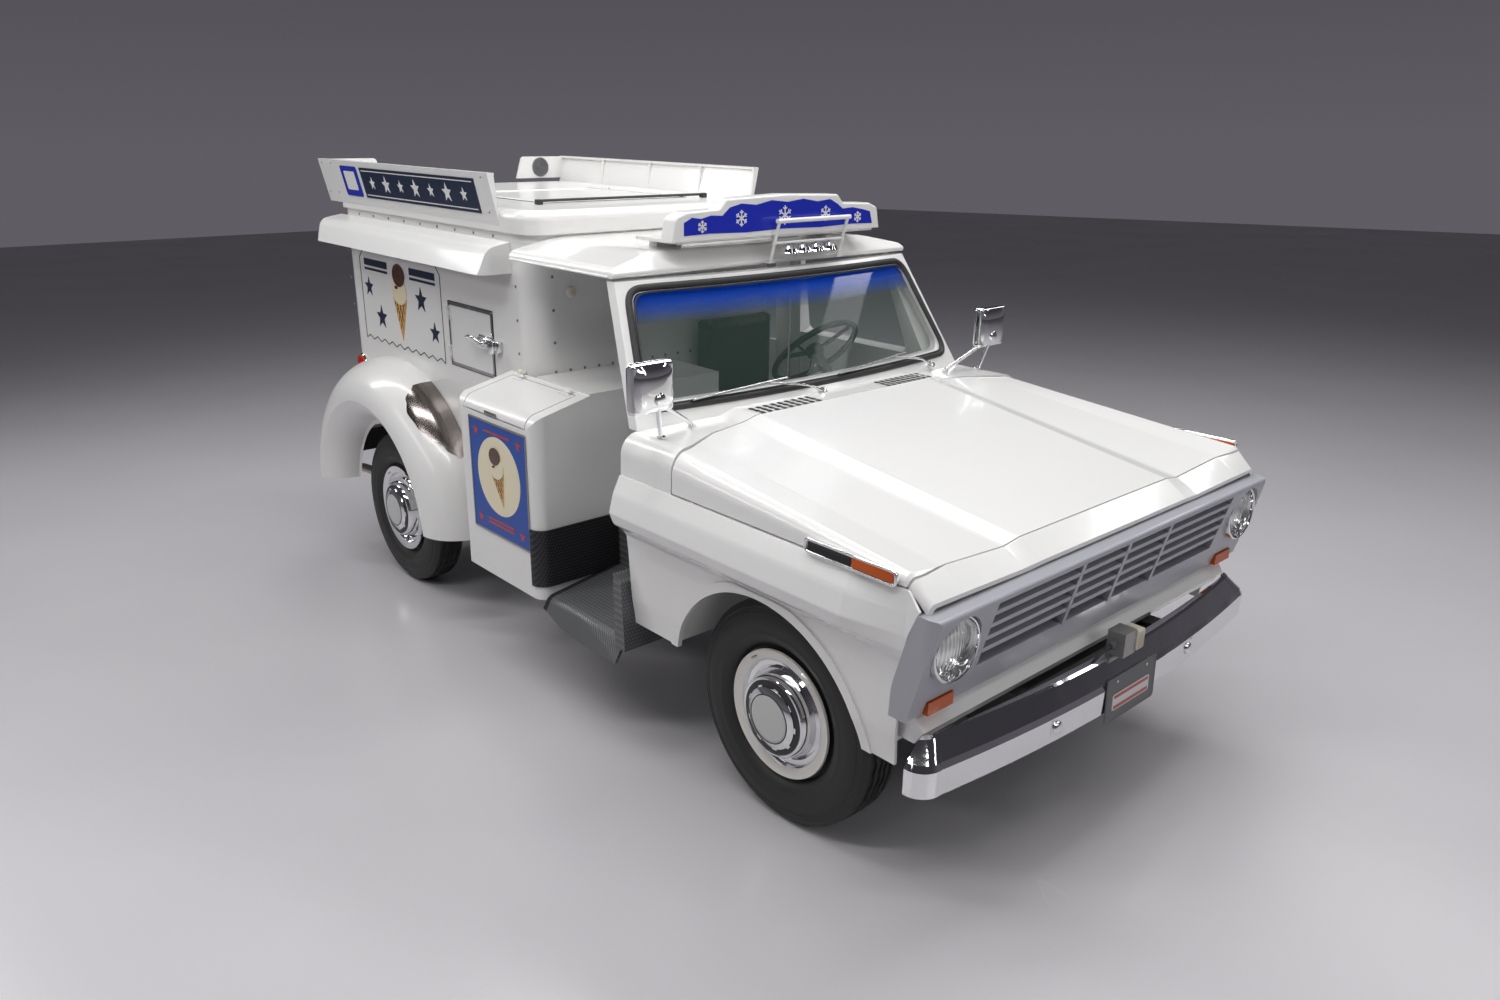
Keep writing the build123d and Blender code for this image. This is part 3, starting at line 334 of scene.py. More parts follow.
bodyPaint = paintFinish("cab_white_paint", (0.84, 0.835, 0.82), 0.015, 0.22, 0.7)
freezerPaint = paintFinish("freezer_white_paint", (0.80, 0.795, 0.78), 0.05, 0.3, 0.4)
wheelPaint = paintFinish("wheel_cream_paint", (0.80, 0.78, 0.73), 0.01, 0.25, 0.5, 0.2)
silverPaint = paintFinish("grille_silver_paint", (0.36, 0.36, 0.40), 0.02, 0.32, 0.2)
chromeFinish = metalFinish("chrome_plate", (0.86, 0.86, 0.87), 0.04)
steelFinish = metalFinish("worn_steel", (0.42, 0.40, 0.38), 0.28, 0.15)
blackPaint = dullFinish("chassis_black", (0.02, 0.02, 0.02), 0.55)
rubberFinish = dullFinish("black_rubber", (0.018, 0.018, 0.019), 0.55, 0.3, 60.0)
seatFinish = dullFinish("seat_leather", (0.022, 0.022, 0.025), 0.42, 0.3, 90.0, 0.4)
beigeFinish = dullFinish("inlet_beige", (0.50, 0.46, 0.38), 0.5)
castGrey = metalFinish("cast_grey", (0.42, 0.42, 0.41), 0.38, 0.15)
interiorFinish = paintFinish("cab_inside_paint", (0.70, 0.71, 0.70), 0.02, 0.35, 0.2)


def tyreFinish():
    tyre = Finish("tyre_rubber")
    dust = tyre.noise(14.0, 5.0)
    tyre.feed(colour=tyre.mix(dust, (0.012, 0.012, 0.013), (0.028, 0.027, 0.026)), rough=dust * 0.2 + 0.45)
    tyre.bump(tyre.noise(300.0, 2.0), 0.1, 0.001)
    return tyre.material


def glassFinish():
    glass = Finish("windshield_glass", rough=0.03, ior=1.45)
    band = glass.ramp(glass.z + glass.noise(1.5, 1.0) * 0.02, 1.575, 1.665).held() ** 0.7
    glass.feed(colour=glass.mix(band, (0.07, 0.12, 0.10), (0.0, 0.06, 0.55)), alpha=band * 0.72 + 0.16)
    return glass.material


tyreRubber = tyreFinish()
windshieldGlass = glassFinish()


def treadPlateFinish():
    tread = Finish("black_tread_plate", metal=0.3)
    along, across = tread.x + tread.z, tread.y - tread.z * 0.5
    one = ((along + across) * 230.0).wave() * ((along - across) * 230.0).wave()
    raised = tread.ramp(one, 0.35, 0.7).held()
    step = (tread.x > 0.238) * (tread.noise(9.0, 4.0) * 0.3 + 0.85)
    low = tread.mix(step, (0.016, 0.016, 0.018), (0.115, 0.118, 0.125))
    high = tread.mix(step, (0.060, 0.060, 0.064), (0.210, 0.215, 0.225))
    tread.feed(colour=tread.mix(raised, low, high), rough=raised * -0.15 + 0.45)
    tread.bump(raised, 0.7, 0.003)
    return tread.material


treadPlate = treadPlateFinish()


def lensFinish(name, colour):
    lens = Finish(name, rough=0.16, coat=0.1, colour=colour, specular=0.3)
    ribs = (lens.y * 900.0).wave()
    lens.bump(ribs, 0.25, 0.002)
    return lens.material


def headlampFinish():
    lamp = Finish("headlamp_glass", metal=0.6, rough=0.1)
    bars = (lamp.y * 420.0).wave()
    rows = (lamp.z * 90.0).wave()
    # lens colour is lighter on the flute crests and darker in the grooves: painted light and shade of the fluted glass
    lamp.feed(colour=lamp.mix(lamp.ramp(bars + rows, -1.2, 1.4).held(), (0.50, 0.51, 0.50), (0.86, 0.87, 0.86)))
    lamp.bump(bars + rows * 0.5, 0.25, 0.003)
    return lamp.material


amberLens = lensFinish("amber_lens", (0.52, 0.085, 0.003))
clearLens = headlampFinish()
signBlue = paintFinish("sign_blue", (0.012, 0.025, 0.42), 0.01, 0.25, 0.3, 0.0)
labelNavy = paintFinish("label_navy", (0.008, 0.018, 0.05), 0.01, 0.3, 0.2, 0.0)
labelWhite = paintFinish("label_white", (0.80, 0.80, 0.80), 0.01, 0.3, 0.2, 0.0)
redLens = lensFinish("red_lens", (0.45, 0.01, 0.01))
hubBlack = dullFinish("trim_black", (0.012, 0.012, 0.013), 0.42, 0.4, 50.0, 0.05)
hubGrey = paintFinish("hub_centre_grey", (0.56, 0.56, 0.55), 0.01, 0.35, 0.2, 0.0)
brightSteel = metalFinish("wiper_steel", (0.72, 0.72, 0.72), 0.18, 0.1)
guardSteel = metalFinish("guard_steel", (0.30, 0.27, 0.25), 0.12, 0.10)
mirrorGlass = metalFinish("mirror_glass", (0.90, 0.92, 0.92), 0.01, 0.0)
blankPlate = paintFinish("blank_plate", (0.62, 0.63, 0.64), 0.02, 0.35, 0.1, 0.1)
greyPlastic = dullFinish("grey_plastic", (0.10, 0.10, 0.105), 0.5, 0.3, 40.0, 0.1)
creamPlastic = dullFinish("cream_plastic", (0.66, 0.62, 0.53), 0.35, 0.1, 30.0, 0.05)
rivetGrey = metalFinish("rivet_grey", (0.30, 0.29, 0.28), 0.4, 0.15)
panelBlue = paintFinish("panel_blue", (0.005, 0.065, 0.36), 0.01, 0.4, 0.1, 0.0)
creamPaint = paintFinish("design_cream", (0.80, 0.72, 0.52), 0.01, 0.3, 0.2, 0.0)
brownPaint = paintFinish("design_brown", (0.085, 0.030, 0.014), 0.01, 0.28, 0.3, 0.0)
waferPaint = paintFinish("design_wafer", (0.62, 0.36, 0.12), 0.01, 0.35, 0.2, 0.0)
redPaint = paintFinish("design_red", (0.42, 0.025, 0.02), 0.01, 0.3, 0.3, 0.0)

print("finishes made")

# Each CAD node's finish
nodeFinish = {
    "body": (bodyPaint, ("front_fender_right", "front_fender_left", "hood", "cowl", "cab_roof", "driver_door",
                         "cab_corner_left", "front_valance", "nose_panel")),
    "freezer": (freezerPaint, ("box_floor", "box_front_wall", "box_rear_wall", "box_side_right", "box_side_left",
                               "box_roof", "front_cabinet", "freezer_door_right", "rear_door", "roof_hatch",
                               "side_lockers", "locker_lid_right", "locker_lid_left", "rear_fenders", "awnings",
                               "sign_boards", "roof_sign", "bell_rack")),
    "inside": (interiorFinish, ("cab_floor",)),
    "chassis": (blackPaint, ("frame_rails", "front_axle_beams", "steering_knuckle_right", "steering_knuckle_left",
                             "tie_rod", "springs", "rear_axle", "engine_block", "rear_bumper")),
    "chrome": (chromeFinish, ("hood_side_markers", "mirrors", "bells", "front_bumper")),
    "rubber": (rubberFinish, ("dashboard", "steering_wheel")),
    "seat": (seatFinish, ("seat_cushion", "seat_back")),
    "steel": (steelFinish, ("exhaust_pipe",)),
    "silver": (silverPaint, ("grille",)),
    "glass": (windshieldGlass, ("windshield",)),
    "clearLens": (clearLens, ("headlamps",)),
    "amber": (amberLens, ("signal_lamps",)),
    "inlet": (castGrey, ("power_inlet",)),
    "tread": (treadPlate, ("side_step",)),
    "wheels": (wheelPaint, ("wheel_disc_front_right", "wheel_disc_front_left")),
    "rearWheels": (chromeFinish, ("wheel_disc_rear_right", "wheel_disc_rear_left")),
    "tyres": (tyreRubber, tuple("tyre_" + corner for corner in ("front_right", "front_left", "rear_right",
                                                                "rear_left"))),
}
for finish, names in nodeFinish.values():
    for name in names:
        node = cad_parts[name]
        node.data.materials.clear()
        node.data.materials.append(finish)
print("CAD nodes finished")


# Camera, floor and lights

cameraSet = {"place": (2.3037, -3.0243, 2.1419), "yaw": 137.964, "pitch": 17.662, "roll": -0.520, "lens": 26.22}
yaw, pitch, roll = (math.radians(cameraSet[key]) for key in ("yaw", "pitch", "roll"))
ahead = Vector((math.cos(pitch) * math.cos(yaw), math.cos(pitch) * math.sin(yaw), -math.sin(pitch)))
sideways = ahead.cross(Vector((0, 0, 1))).normalized()
upward = sideways.cross(ahead)
right = sideways * math.cos(roll) + upward * math.sin(roll)
upright = upward * math.cos(roll) - sideways * math.sin(roll)
clearSelection()
bpy.ops.object.camera_add(location=(0, 0, 0))
camera = bpy.context.object
turn = Matrix((right, upright, -ahead)).transposed().to_4x4()
camera.matrix_world = Matrix.Translation(Vector(cameraSet["place"]) + Vector((axleX, 0, 0))) @ turn
camera.data.lens = cameraSet["lens"]
camera.data.sensor_width = 36
bpy.context.scene.camera = camera

studio = {
    "floorSize": 60, "floorColours": ((0.53, 0.515, 0.54), (0.60, 0.585, 0.605)), "floorRough": 0.2,
    "horizon": (0.115, 0.110, 0.125, 1), "ceiling": (0.040, 0.038, 0.045, 1), "blend": 0.35, "aim": (0, 0, 0.8),
    "lights": (  # name, place, length and width, watts
        ("ceilingNear", (2.5, -3.2, 5.6), (7.0, 0.5), 160), ("ceilingOver", (0.6, -0.4, 5.8), (8.0, 0.5), 165),
        ("ceilingFar", (-1.0, 2.6, 5.8), (8.0, 0.5), 170), ("ceilingRear", (-4.6, -2.8, 5.4), (0.6, 6.0), 100),
        ("ceilingLeft", (3.2, 7.5, 5.6), (8.0, 0.6), 75), ("ceilingFront", (7.5, 2.0, 5.6), (0.5, 7.0), 45),
        ("frontFill", (6.5, -0.5, 3.4), (3.0, 0.8), 34), ("sideFill", (-1.5, -7.0, 4.2), (7.0, 0.6), 60)),
}
clearSelection()
bpy.ops.mesh.primitive_plane_add(size=studio["floorSize"], location=(0, 0, 0))
floor = bpy.context.object
floor.name = "floor"
floorFinish = Finish("pale_floor", coat=0.0)
cloud = floorFinish.noise(0.6, 4.0)
floorFinish.feed(colour=floorFinish.mix(cloud, *studio["floorColours"]), rough=cloud * 0.1 + studio["floorRough"])
floor.data.materials.append(floorFinish.material)

world = bpy.context.scene.world or bpy.data.worlds.new("studio")
bpy.context.scene.world = world
world.use_nodes = True
sky = world.node_tree
background = sky.nodes["Background"]
place = sky.nodes.new("ShaderNodeTexCoord")
split = sky.nodes.new("ShaderNodeSeparateXYZ")
heights = sky.nodes.new("ShaderNodeValToRGB")
sky.links.new(place.outputs["Generated"], split.inputs[0])
sky.links.new(split.outputs["Z"], heights.inputs["Fac"])
sky.links.new(heights.outputs["Color"], background.inputs["Color"])
low, high = heights.color_ramp.elements
low.position, low.color = 0.0, studio["horizon"]
high.position, high.color = studio["blend"], studio["ceiling"]
background.inputs["Strength"].default_value = 1.0
bpy.context.scene.view_settings.view_transform = "Standard"

for name, place, size, power in studio["lights"]:
    clearSelection()
    bpy.ops.object.light_add(type="AREA", location=place)
    light = bpy.context.object
    light.name = name
    light.data.shape = "RECTANGLE"
    light.data.size, light.data.size_y = size
    light.data.energy = power
    light.rotation_mode = "QUATERNION"
    light.rotation_quaternion = (Vector(studio["aim"]) - Vector(place)).to_track_quat("-Z", "Y")
print("camera and lights set")


# Small makers for trim on a surface. A surface gives the place of (a, b) raised by out.

def rightSide(x, z, out):
    return (x, -0.680 - out, z)


def boxFront(y, z, out):
    return (-1.640 + out, y, z)


def boxRear(y, z, out):
    return (-3.480 - out, y, z)


def boxRoof(x, y, out):
    return (x, y, 1.870 + out)


def lockerFace(x, z, out):
    return (x, -0.945 - out, z)


def signRight(x, z, out):
    return (x, -(0.6953 + (z - 1.800) * 0.2245 + out * 0.9757), z - out * 0.219)


def roofSign(y, z, out):
    return (-0.888 + out, y, z)


def plateHolder(y, z, out):
    return (0.7661 + out - 0.0349 * (z - 0.512), y, z)


def patch(surface, points, lift, thickness=0.0012, bevel=0.0):
    return plate("patch", [surface(a, b, lift + thickness / 2) for a, b in points], thickness, bevel)


def oblong(a0, a1, b0, b1, radius=0.0, steps=4):
    if not radius:
        return [(a0, b0), (a1, b0), (a1, b1), (a0, b1)]
    points = []
    for a, b, start in ((a1 - radius, b0 + radius, -90), (a1 - radius, b1 - radius, 0),
                        (a0 + radius, b1 - radius, 90), (a0 + radius, b0 + radius, 180)):
        for i in range(steps + 1):
            angle = math.radians(start + 90 * i / steps)
            points.append((a + radius * math.cos(angle), b + radius * math.sin(angle)))
    return points


def disc(a, b, radius, steps=28, squash=1.0):
    return [(a + radius * math.cos(math.tau * i / steps), b + radius * squash * math.sin(math.tau * i / steps))
            for i in range(steps)]


def stroke(surface, start, end, width, lift, thickness=0.0012):
    a, b = Vector(start), Vector(end)
    across = (b - a).normalized().orthogonal() * width / 2
    return patch(surface, [tuple(a + across), tuple(b + across), tuple(b - across), tuple(a - across)], lift, thickness)


def strokes(surface, path, width, lift, thickness=0.0012):
    return [stroke(surface, a, b, width, lift, thickness) for a, b in zip(path, path[1:])]


def stud(name, centre, radius, height, facing, steps=12):
    return turned(name, [(radius, 0.0), (radius * 0.92, height * 0.6), (radius * 0.5, height), (0.0, height)], centre,
                  facing, steps)


def studRow(name, places, radius, height, facing, body, finish, bothSides=False):
    first = stud(name + "_first", places[0], radius, height, facing)
    pick(first)
    bpy.ops.object.transform_apply(location=True, rotation=True, scale=True)
    row = joined(name, duplicateAt(first, [Vector(place) - Vector(places[0]) for place in places]))
    if bothSides:
        settle(mirrored(row, name + "_left"), body, finish, 40)
    return settle(row, body, finish, 40)


def settleBoth(piece, name, body, finish, smooth=35):
    settle(mirrored(piece, name + "_left"), body, finish, smooth)
    piece.name = name + "_right"
    return settle(piece, body, finish, smooth)


# Tyres: ribbed walls, grooved tread with staggered groove edges and notched shoulders

tyre = {
    "steps": 144,
    "profile": [(0.2045, -0.054), (0.2255, -0.056), (0.234, -0.068), (0.245, -0.078), (0.256, -0.085), (0.270, -0.0895),
                (0.276, -0.0915), (0.280, -0.0905), (0.300, -0.0945), (0.325, -0.0922), (0.343, -0.0872),
                (0.346, -0.0888), (0.350, -0.0880), (0.352, -0.0850), (0.362, -0.0815), (0.366, -0.0825),
                (0.372, -0.0785), (0.384, -0.0700), (0.3915, -0.0610), (0.3930, -0.0430), (0.3860, -0.0415),
                (0.3860, -0.0375), (0.3940, -0.0360), (0.3948, -0.0150), (0.3870, -0.0135), (0.3870, -0.0095),
                (0.3950, -0.0080)],
    "staggered": ((0.393, 0.043), (0.386, 0.0415), (0.386, 0.0375), (0.394, 0.036), (0.3948, 0.015), (0.387, 0.0135),
                  (0.387, 0.0095), (0.395, 0.008)),
    "near": 0.0006, "shift": 0.0026, "shoulder": (0.376, 0.3905), "shoulderFrom": 0.060,
    "notch": 0.006, "notchRim": 0.0012, "fromFlange": 0.076,
}


def makeTyre(corner, hub):
    whole = tyre["profile"] + [(r, -w) for r, w in reversed(tyre["profile"])]
    piece = turned("tyre_" + corner + "_tread", whole, (0, 0, 0), "+Z", tyre["steps"])
    stepAngle = math.tau / tyre["steps"]
    for vertex in piece.data.vertices:
        radius, angle = math.hypot(vertex.co.x, vertex.co.y), math.atan2(vertex.co.y, vertex.co.x)
        for r, w in tyre["staggered"]:
            if abs(radius - r) < tyre["near"] and abs(abs(vertex.co.z) - w) < tyre["near"]:
                vertex.co.z += tyre["shift"] if round(angle / stepAngle) % 4 < 2 else -tyre["shift"]
                break
    inner, outer = tyre["shoulder"]
    for polygon in piece.data.polygons:
        middle = polygon.center
        turn = round((math.atan2(middle.y, middle.x) / stepAngle) - 0.5) % tyre["steps"]
        shoulder = inner < math.hypot(middle.x, middle.y) < outer and abs(middle.z) > tyre["shoulderFrom"]
        polygon.select = shoulder and turn % 3 == 0
    pick(piece)
    bpy.ops.object.mode_set(mode="EDIT")
    bpy.ops.mesh.select_mode(type="FACE")
    bpy.ops.mesh.inset(thickness=tyre["notchRim"], depth=-tyre["notch"], use_individual=False)
    bpy.ops.mesh.select_mode(type="VERT")
    bpy.ops.object.mode_set(mode="OBJECT")
    piece.rotation_euler = (math.pi / 2, 0, 0)
    piece.location = hub
    settle(piece, "wheel_" + corner, tyreRubber, 32)
    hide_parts("tyre_" + corner)


# Hub cap steps as (radius, height), a black ring with a notched bright edge, and a grey centre

hubTrim = {
    "cap": [(0.0, 0.0440), (0.0800, 0.0440), (0.0860, 0.0425), (0.1000, 0.0372), (0.1055, 0.0340), (0.1065, 0.0290),
            (0.1270, 0.0262), (0.1275, 0.0285), (0.1310, 0.0300), (0.1360, 0.0285), (0.1410, 0.0215), (0.1440, 0.0120),
            (0.1470, 0.0040), (0.1490, -0.0060), (0.1540, -0.0190), (0.1640, -0.0265), (0.1740, -0.0268),
            (0.1800, -0.0250), (0.1840, -0.0130), (0.1855, -0.0080)],
    "black": [(0.1272, 0.0264), (0.1272, 0.0292), (0.1080, 0.0322), (0.1080, 0.0292)],
    "crown": [(0.1060, 0.0300), (0.1060, 0.0355), (0.1035, 0.0372), (0.0850, 0.0442), (0.0850, 0.0430)],
    "centre": [(0.0820, 0.0442), (0.0800, 0.0462), (0.0700, 0.0472), (0.0, 0.0490)],
    "outline": [(0.0852, 0.0440), (0.0852, 0.0452), (0.0818, 0.0460), (0.0818, 0.0440)],
    "teeth": 9,
    "tooth": ((0.1000, -0.0110, 0.0300), (0.1120, 0.0110, 0.0342)),
    "steps": 72,
}


def makeHub(corner, hub, side):
    facing = "-Y" if side < 0 else "+Y"
    body = "wheel_" + corner
    cap = turned("hub_cap_" + corner, hubTrim["cap"], hub, facing, hubTrim["steps"])
    settle(cap, body, chromeFinish, 30)
    black = turned("hub_ring_" + corner, hubTrim["black"], hub, facing, hubTrim["steps"])
    settle(black, body, hubBlack, 30)
    crown = turned("hub_crown", hubTrim["crown"], hub, facing, hubTrim["steps"])
    blocks = []
    for i in range(hubTrim["teeth"]):
        tooth = roundedBlock("tooth", *hubTrim["tooth"], 0.0012, 1)
        tooth.rotation_euler = (0, 0, math.tau * i / hubTrim["teeth"])
        tooth.location = Matrix.Rotation(math.tau * i / hubTrim["teeth"], 3, "Z") @ Vector(tooth.location)
        blocks.append(tooth)
    teeth = joined("hub_teeth", blocks)
    teeth.rotation_euler = (math.pi / 2 if side < 0 else -math.pi / 2, 0, 0)
    teeth.location = hub
    settle(joined("hub_crown_" + corner, [crown, teeth]), body, chromeFinish, 30)
    settle(turned("hub_centre_" + corner, hubTrim["centre"], hub, facing, 48), body, hubGrey, 40)
    settle(turned("hub_outline_" + corner, hubTrim["outline"], hub, facing, 48), body, hubBlack, 40)


# Side and flange distance of each wheel, and the slot in its rim
wheels = {"front_right": (-1, 0.831), "front_left": (1, 0.831), "rear_right": (-1, 0.747), "rear_left": (1, 0.747)}
rimSlot = {"half": (0.014, 0.004, 0.0035), "angle": 128, "radius": 0.2035, "depth": 0.0035}
for corner, (side, flange) in wheels.items():
    x, z = (rearHub.x, rearHub.z) if corner.startswith("rear") else (0.0, stance["hubHeight"])
    makeHub(corner, (x, side * flange, z), side)
    makeTyre(corner, (x, side * (flange - tyre["fromFlange"]), z))
    slotPatch = roundedBlock("rim_slot", [-half for half in rimSlot["half"]], rimSlot["half"], 0.003, 2)
    angle = math.radians(rimSlot["angle"])
    slotPatch.rotation_euler = (0, math.pi / 2 - angle, 0)
    reach = rimSlot["radius"]
    slotPatch.location = (x + reach * math.cos(angle), side * (flange - rimSlot["depth"]), z + reach * math.sin(angle))
    settle(slotPatch, "wheel_" + corner, steelFinish, 40)
print("wheels made")

# Windshield rubber, wipers and cowl vent

windshield = {"low": (-0.694, 0.839, 1.258), "high": (-0.940, 0.748, 1.667), "bow": 0.070, "round": 0.06,
              "inset": 0.012, "radius": 0.0135, "lipInset": 0.026, "lipRadius": 0.004}


def glassX(y, z, out=0.0):
    x0, _, z0 = windshield["low"]
    lean = (windshield["high"][0] - x0) / (windshield["high"][2] - z0)
    bow = windshield["bow"] * (y / windshield["low"][1]) ** 2
    return x0 + lean * (z - z0) + windshield["bow"] - bow + out


def glassOutline(inset, perSide=9, corner=4):
    y0, z0 = windshield["low"][1] - inset, windshield["low"][2] + inset
    y1, z1 = windshield["high"][1] - inset, windshield["high"][2] - inset
    corners = [Vector((-y0, z0)), Vector((y0, z0)), Vector((y1, z1)), Vector((-y1, z1))]
    points = []
    for i in range(4):
        here, after, before = corners[i], corners[(i + 1) % 4], corners[i - 1]
        toAfter, toBefore = (after - here).normalized(), (before - here).normalized()
        start, end = here + toBefore * windshield["round"], here + toAfter * windshield["round"]
        for step in range(corner + 1):
            t = step / corner
            points.append(start * (1 - t) ** 2 + here * 2 * t * (1 - t) + end * t ** 2)
        far = after - toAfter * windshield["round"]
        for step in range(1, perSide):
            points.append(end.lerp(far, step / perSide))
    return points


rubberPath = [(glassX(p.x, p.y, -0.004), p.x, p.y) for p in glassOutline(windshield["inset"])]
rubber = tube("windshield_rubber", rubberPath, windshield["radius"], True, 3, 3)
lipPath = [(glassX(p.x, p.y, 0.004), p.x, p.y) for p in glassOutline(windshield["lipInset"])]
rubberLip = tube("rubber_lip", lipPath, windshield["lipRadius"], True, 3, 2)
settle(joined("windshield_rubber", [rubber, rubberLip]), "truck", rubberFinish, 60)

wiper = {"pivots": ((-0.045, 1.243), (0.665, 1.243)), "arm": ((-0.130, 1.283), (-0.300, 1.306)),
         "blade": ((-0.205, 1.312), (-0.420, 1.303), (-0.645, 1.290)), "lift": 0.018,
         "boss": [(0.0, -0.018), (0.017, -0.018), (0.017, 0.0), (0.013, 0.008), (0.0, 0.010)], "bossTilt": 58,
         "radii": {"arm": 0.0048, "blade": 0.0042, "strap": 0.0034}}


def wiperAt(index, pivot):
    y0, z0 = pivot
    yRoot = wiper["pivots"][0][0]

    def onGlass(y, z, lift):
        place = y - yRoot + y0
        return (glassX(place, z, lift), place, z + (0.004 if index else 0.0))

    base = (glassX(y0, z0) + 0.012, y0, z0)
    boss = turned("boss", wiper["boss"], base, "+Z", 20)
    boss.rotation_euler = (0, math.radians(wiper["bossTilt"]), 0)
    knee, tip = (onGlass(y, z, wiper["lift"] + 0.010) for y, z in wiper["arm"])
    radii = wiper["radii"]
    arm = tube("arm", [base, (base[0] + 0.008, y0 - 0.03, z0 + 0.014), knee, tip], radii["arm"], False, 3, 2)
    bladePath = [onGlass(y, z, wiper["lift"] + 0.002) for y, z in wiper["blade"]]
    strapPath = [onGlass(y, z - 0.004, wiper["lift"] - 0.006) for y, z in wiper["blade"]]
    blade = tube("blade", bladePath, radii["blade"], False, 3, 2)
    strap = tube("wiper_rubber_" + str(index), strapPath, radii["strap"], False, 3, 1)
    settle(strap, "truck", rubberFinish)
    settle(joined("wiper_" + str(index), [arm, boss, blade]), "truck", brightSteel, 50)


for index, pivot in enumerate(wiper["pivots"]):
    wiperAt(index, pivot)


def cowlTop(x, y, out):
    return (x, y, 1.2412 + out)


cowlVent = {"columns": 9, "rows": 3, "x": -0.590, "pitch": 0.030, "length": 0.024, "half": 0.0085, "round": 0.004,
            "right": (-0.46, -0.14), "left": (0.22, 0.50)}


# black slot patches on the cowl top: painted shade standing for the dark inside of the vent openings
def ventSlots(name):
    y0, y1 = cowlVent[name]
    half, slots = cowlVent["half"], []
    for i in range(cowlVent["columns"]):
        for j in range(cowlVent["rows"]):
            y = y0 + (y1 - y0) * (i + 0.5) / cowlVent["columns"]
            x = cowlVent["x"] + j * cowlVent["pitch"]
            outline = oblong(x, x + cowlVent["length"], y - half, y + half, cowlVent["round"], 2)
            slots.append(patch(cowlTop, outline, 0.0, 0.0009))
    settle(joined("cowl_vent_" + name, slots), "truck", hubBlack)


ventSlots("right")
ventSlots("left")

# Lamps: rings round the head lamps, side markers with a ribbed insert and an amber lens

headlamp = {"centre": (0.600, -0.836, 0.896), "steps": 56,
            "ring": [(0.0885, 0.046), (0.0885, 0.078), (0.0905, 0.0835), (0.0945, 0.0850), (0.0985, 0.0820),
                     (0.0995, 0.070), (0.0995, 0.046), (0.0885, 0.046)]}
lampRing = turned("headlamp_ring", headlamp["ring"], headlamp["centre"], "+X", headlamp["steps"])
settleBoth(lampRing, "headlamp_ring", "truck", chromeFinish, 40)

marker = {"x": (0.232, 0.564), "z": (1.0770, 1.1150), "split": 0.405, "rim": 0.0052, "rows": 5, "pitch": 0.0038}


def markerFace(x, z, out):
    return (x, -0.9685 - out, z)


def sideMarker():
    (x0, x1), (z0, z1), split = marker["x"], marker["z"], marker["split"]
    path = [markerFace(a, b, 0.0) for a, b in oblong(x0, x1, z0, z1, 0.010, 3)]
    rim = tube("rim", path, marker["rim"], True, 1, 2)
    settleBoth(rim, "marker_rim", "hood_panel", chromeFinish, 50)
    ground = [patch(markerFace, oblong(x0 + 0.008, split, z0 + 0.005, z1 - 0.005, 0.003, 2), 0.0, 0.0014)]
    for i in range(marker["rows"]):
        z = z0 + 0.0065 + i * marker["pitch"]
        ground.append(patch(markerFace, oblong(x0 + 0.012, split - 0.004, z, z + 0.0016), 0.0012, 0.0014))
    settleBoth(joined("insert", ground), "marker_insert", "hood_panel", hubBlack)
    lens = roundedBlock("lens", (split + 0.004, -0.9725, z0 + 0.004), (x1 - 0.006, -0.9660, z1 - 0.004), 0.0028, 3)
    settleBoth(lens, "marker_lens", "hood_panel", amberLens, 50)


sideMarker()

# Front: dark backing behind the bars (the radiator's black face, and also painted shade in the grille gaps), bumper
# bolts and blank plate

front = {"backing": (0.588, 0.592), "side": 0.690, "z": (0.786, 0.994), "cells": 40, "pitch": 0.0345, "wall": 0.006,
         "cellX": (0.5915, 0.5945), "margin": 0.002,
         "bolt": [(0.0215, -0.002), (0.0215, 0.003), (0.0180, 0.0075), (0.0090, 0.0105), (0.0, 0.0112)],
         "boltAt": (0.7525, 0.401, 0.520)}
(backX, frontX), (lowZ, highZ), half = front["backing"], front["z"], front["side"]
backing = roundedBlock("backing", (backX, -half, lowZ), (frontX, half, highZ), 0.0015, 1)
(cellX0, cellX1), margin = front["cellX"], front["margin"]
cells = [roundedBlock("cell", (cellX0, -half + i * front["pitch"], lowZ + margin),
                      (cellX1, -half + i * front["pitch"] + front["wall"], highZ - margin), 0.001, 1)
         for i in range(front["cells"])]
settle(joined("radiator_shade_backing", [backing] + cells), "truck", hubBlack)
boltX, boltY, boltZ = front["boltAt"]
for name, side in (("right", -1), ("left", 1)):
    bolt = turned("bumper_bolt_" + name, front["bolt"], (boltX, side * boltY, boltZ), "+X", 32)
    settle(bolt, "truck", chromeFinish, 50)

print("front pieces made")


numberPlates = {
    "holder": (0.152, 0.077), "rim": (0.148, 0.073), "blank": (0.112, -0.040, 0.016), "screws": (0.090, 0.058),
    "band": (0.104, 0.011), "bandRows": (0.006, -0.030), "front": (0.0, 0.512), "rear": (-0.54, 0.985),
}


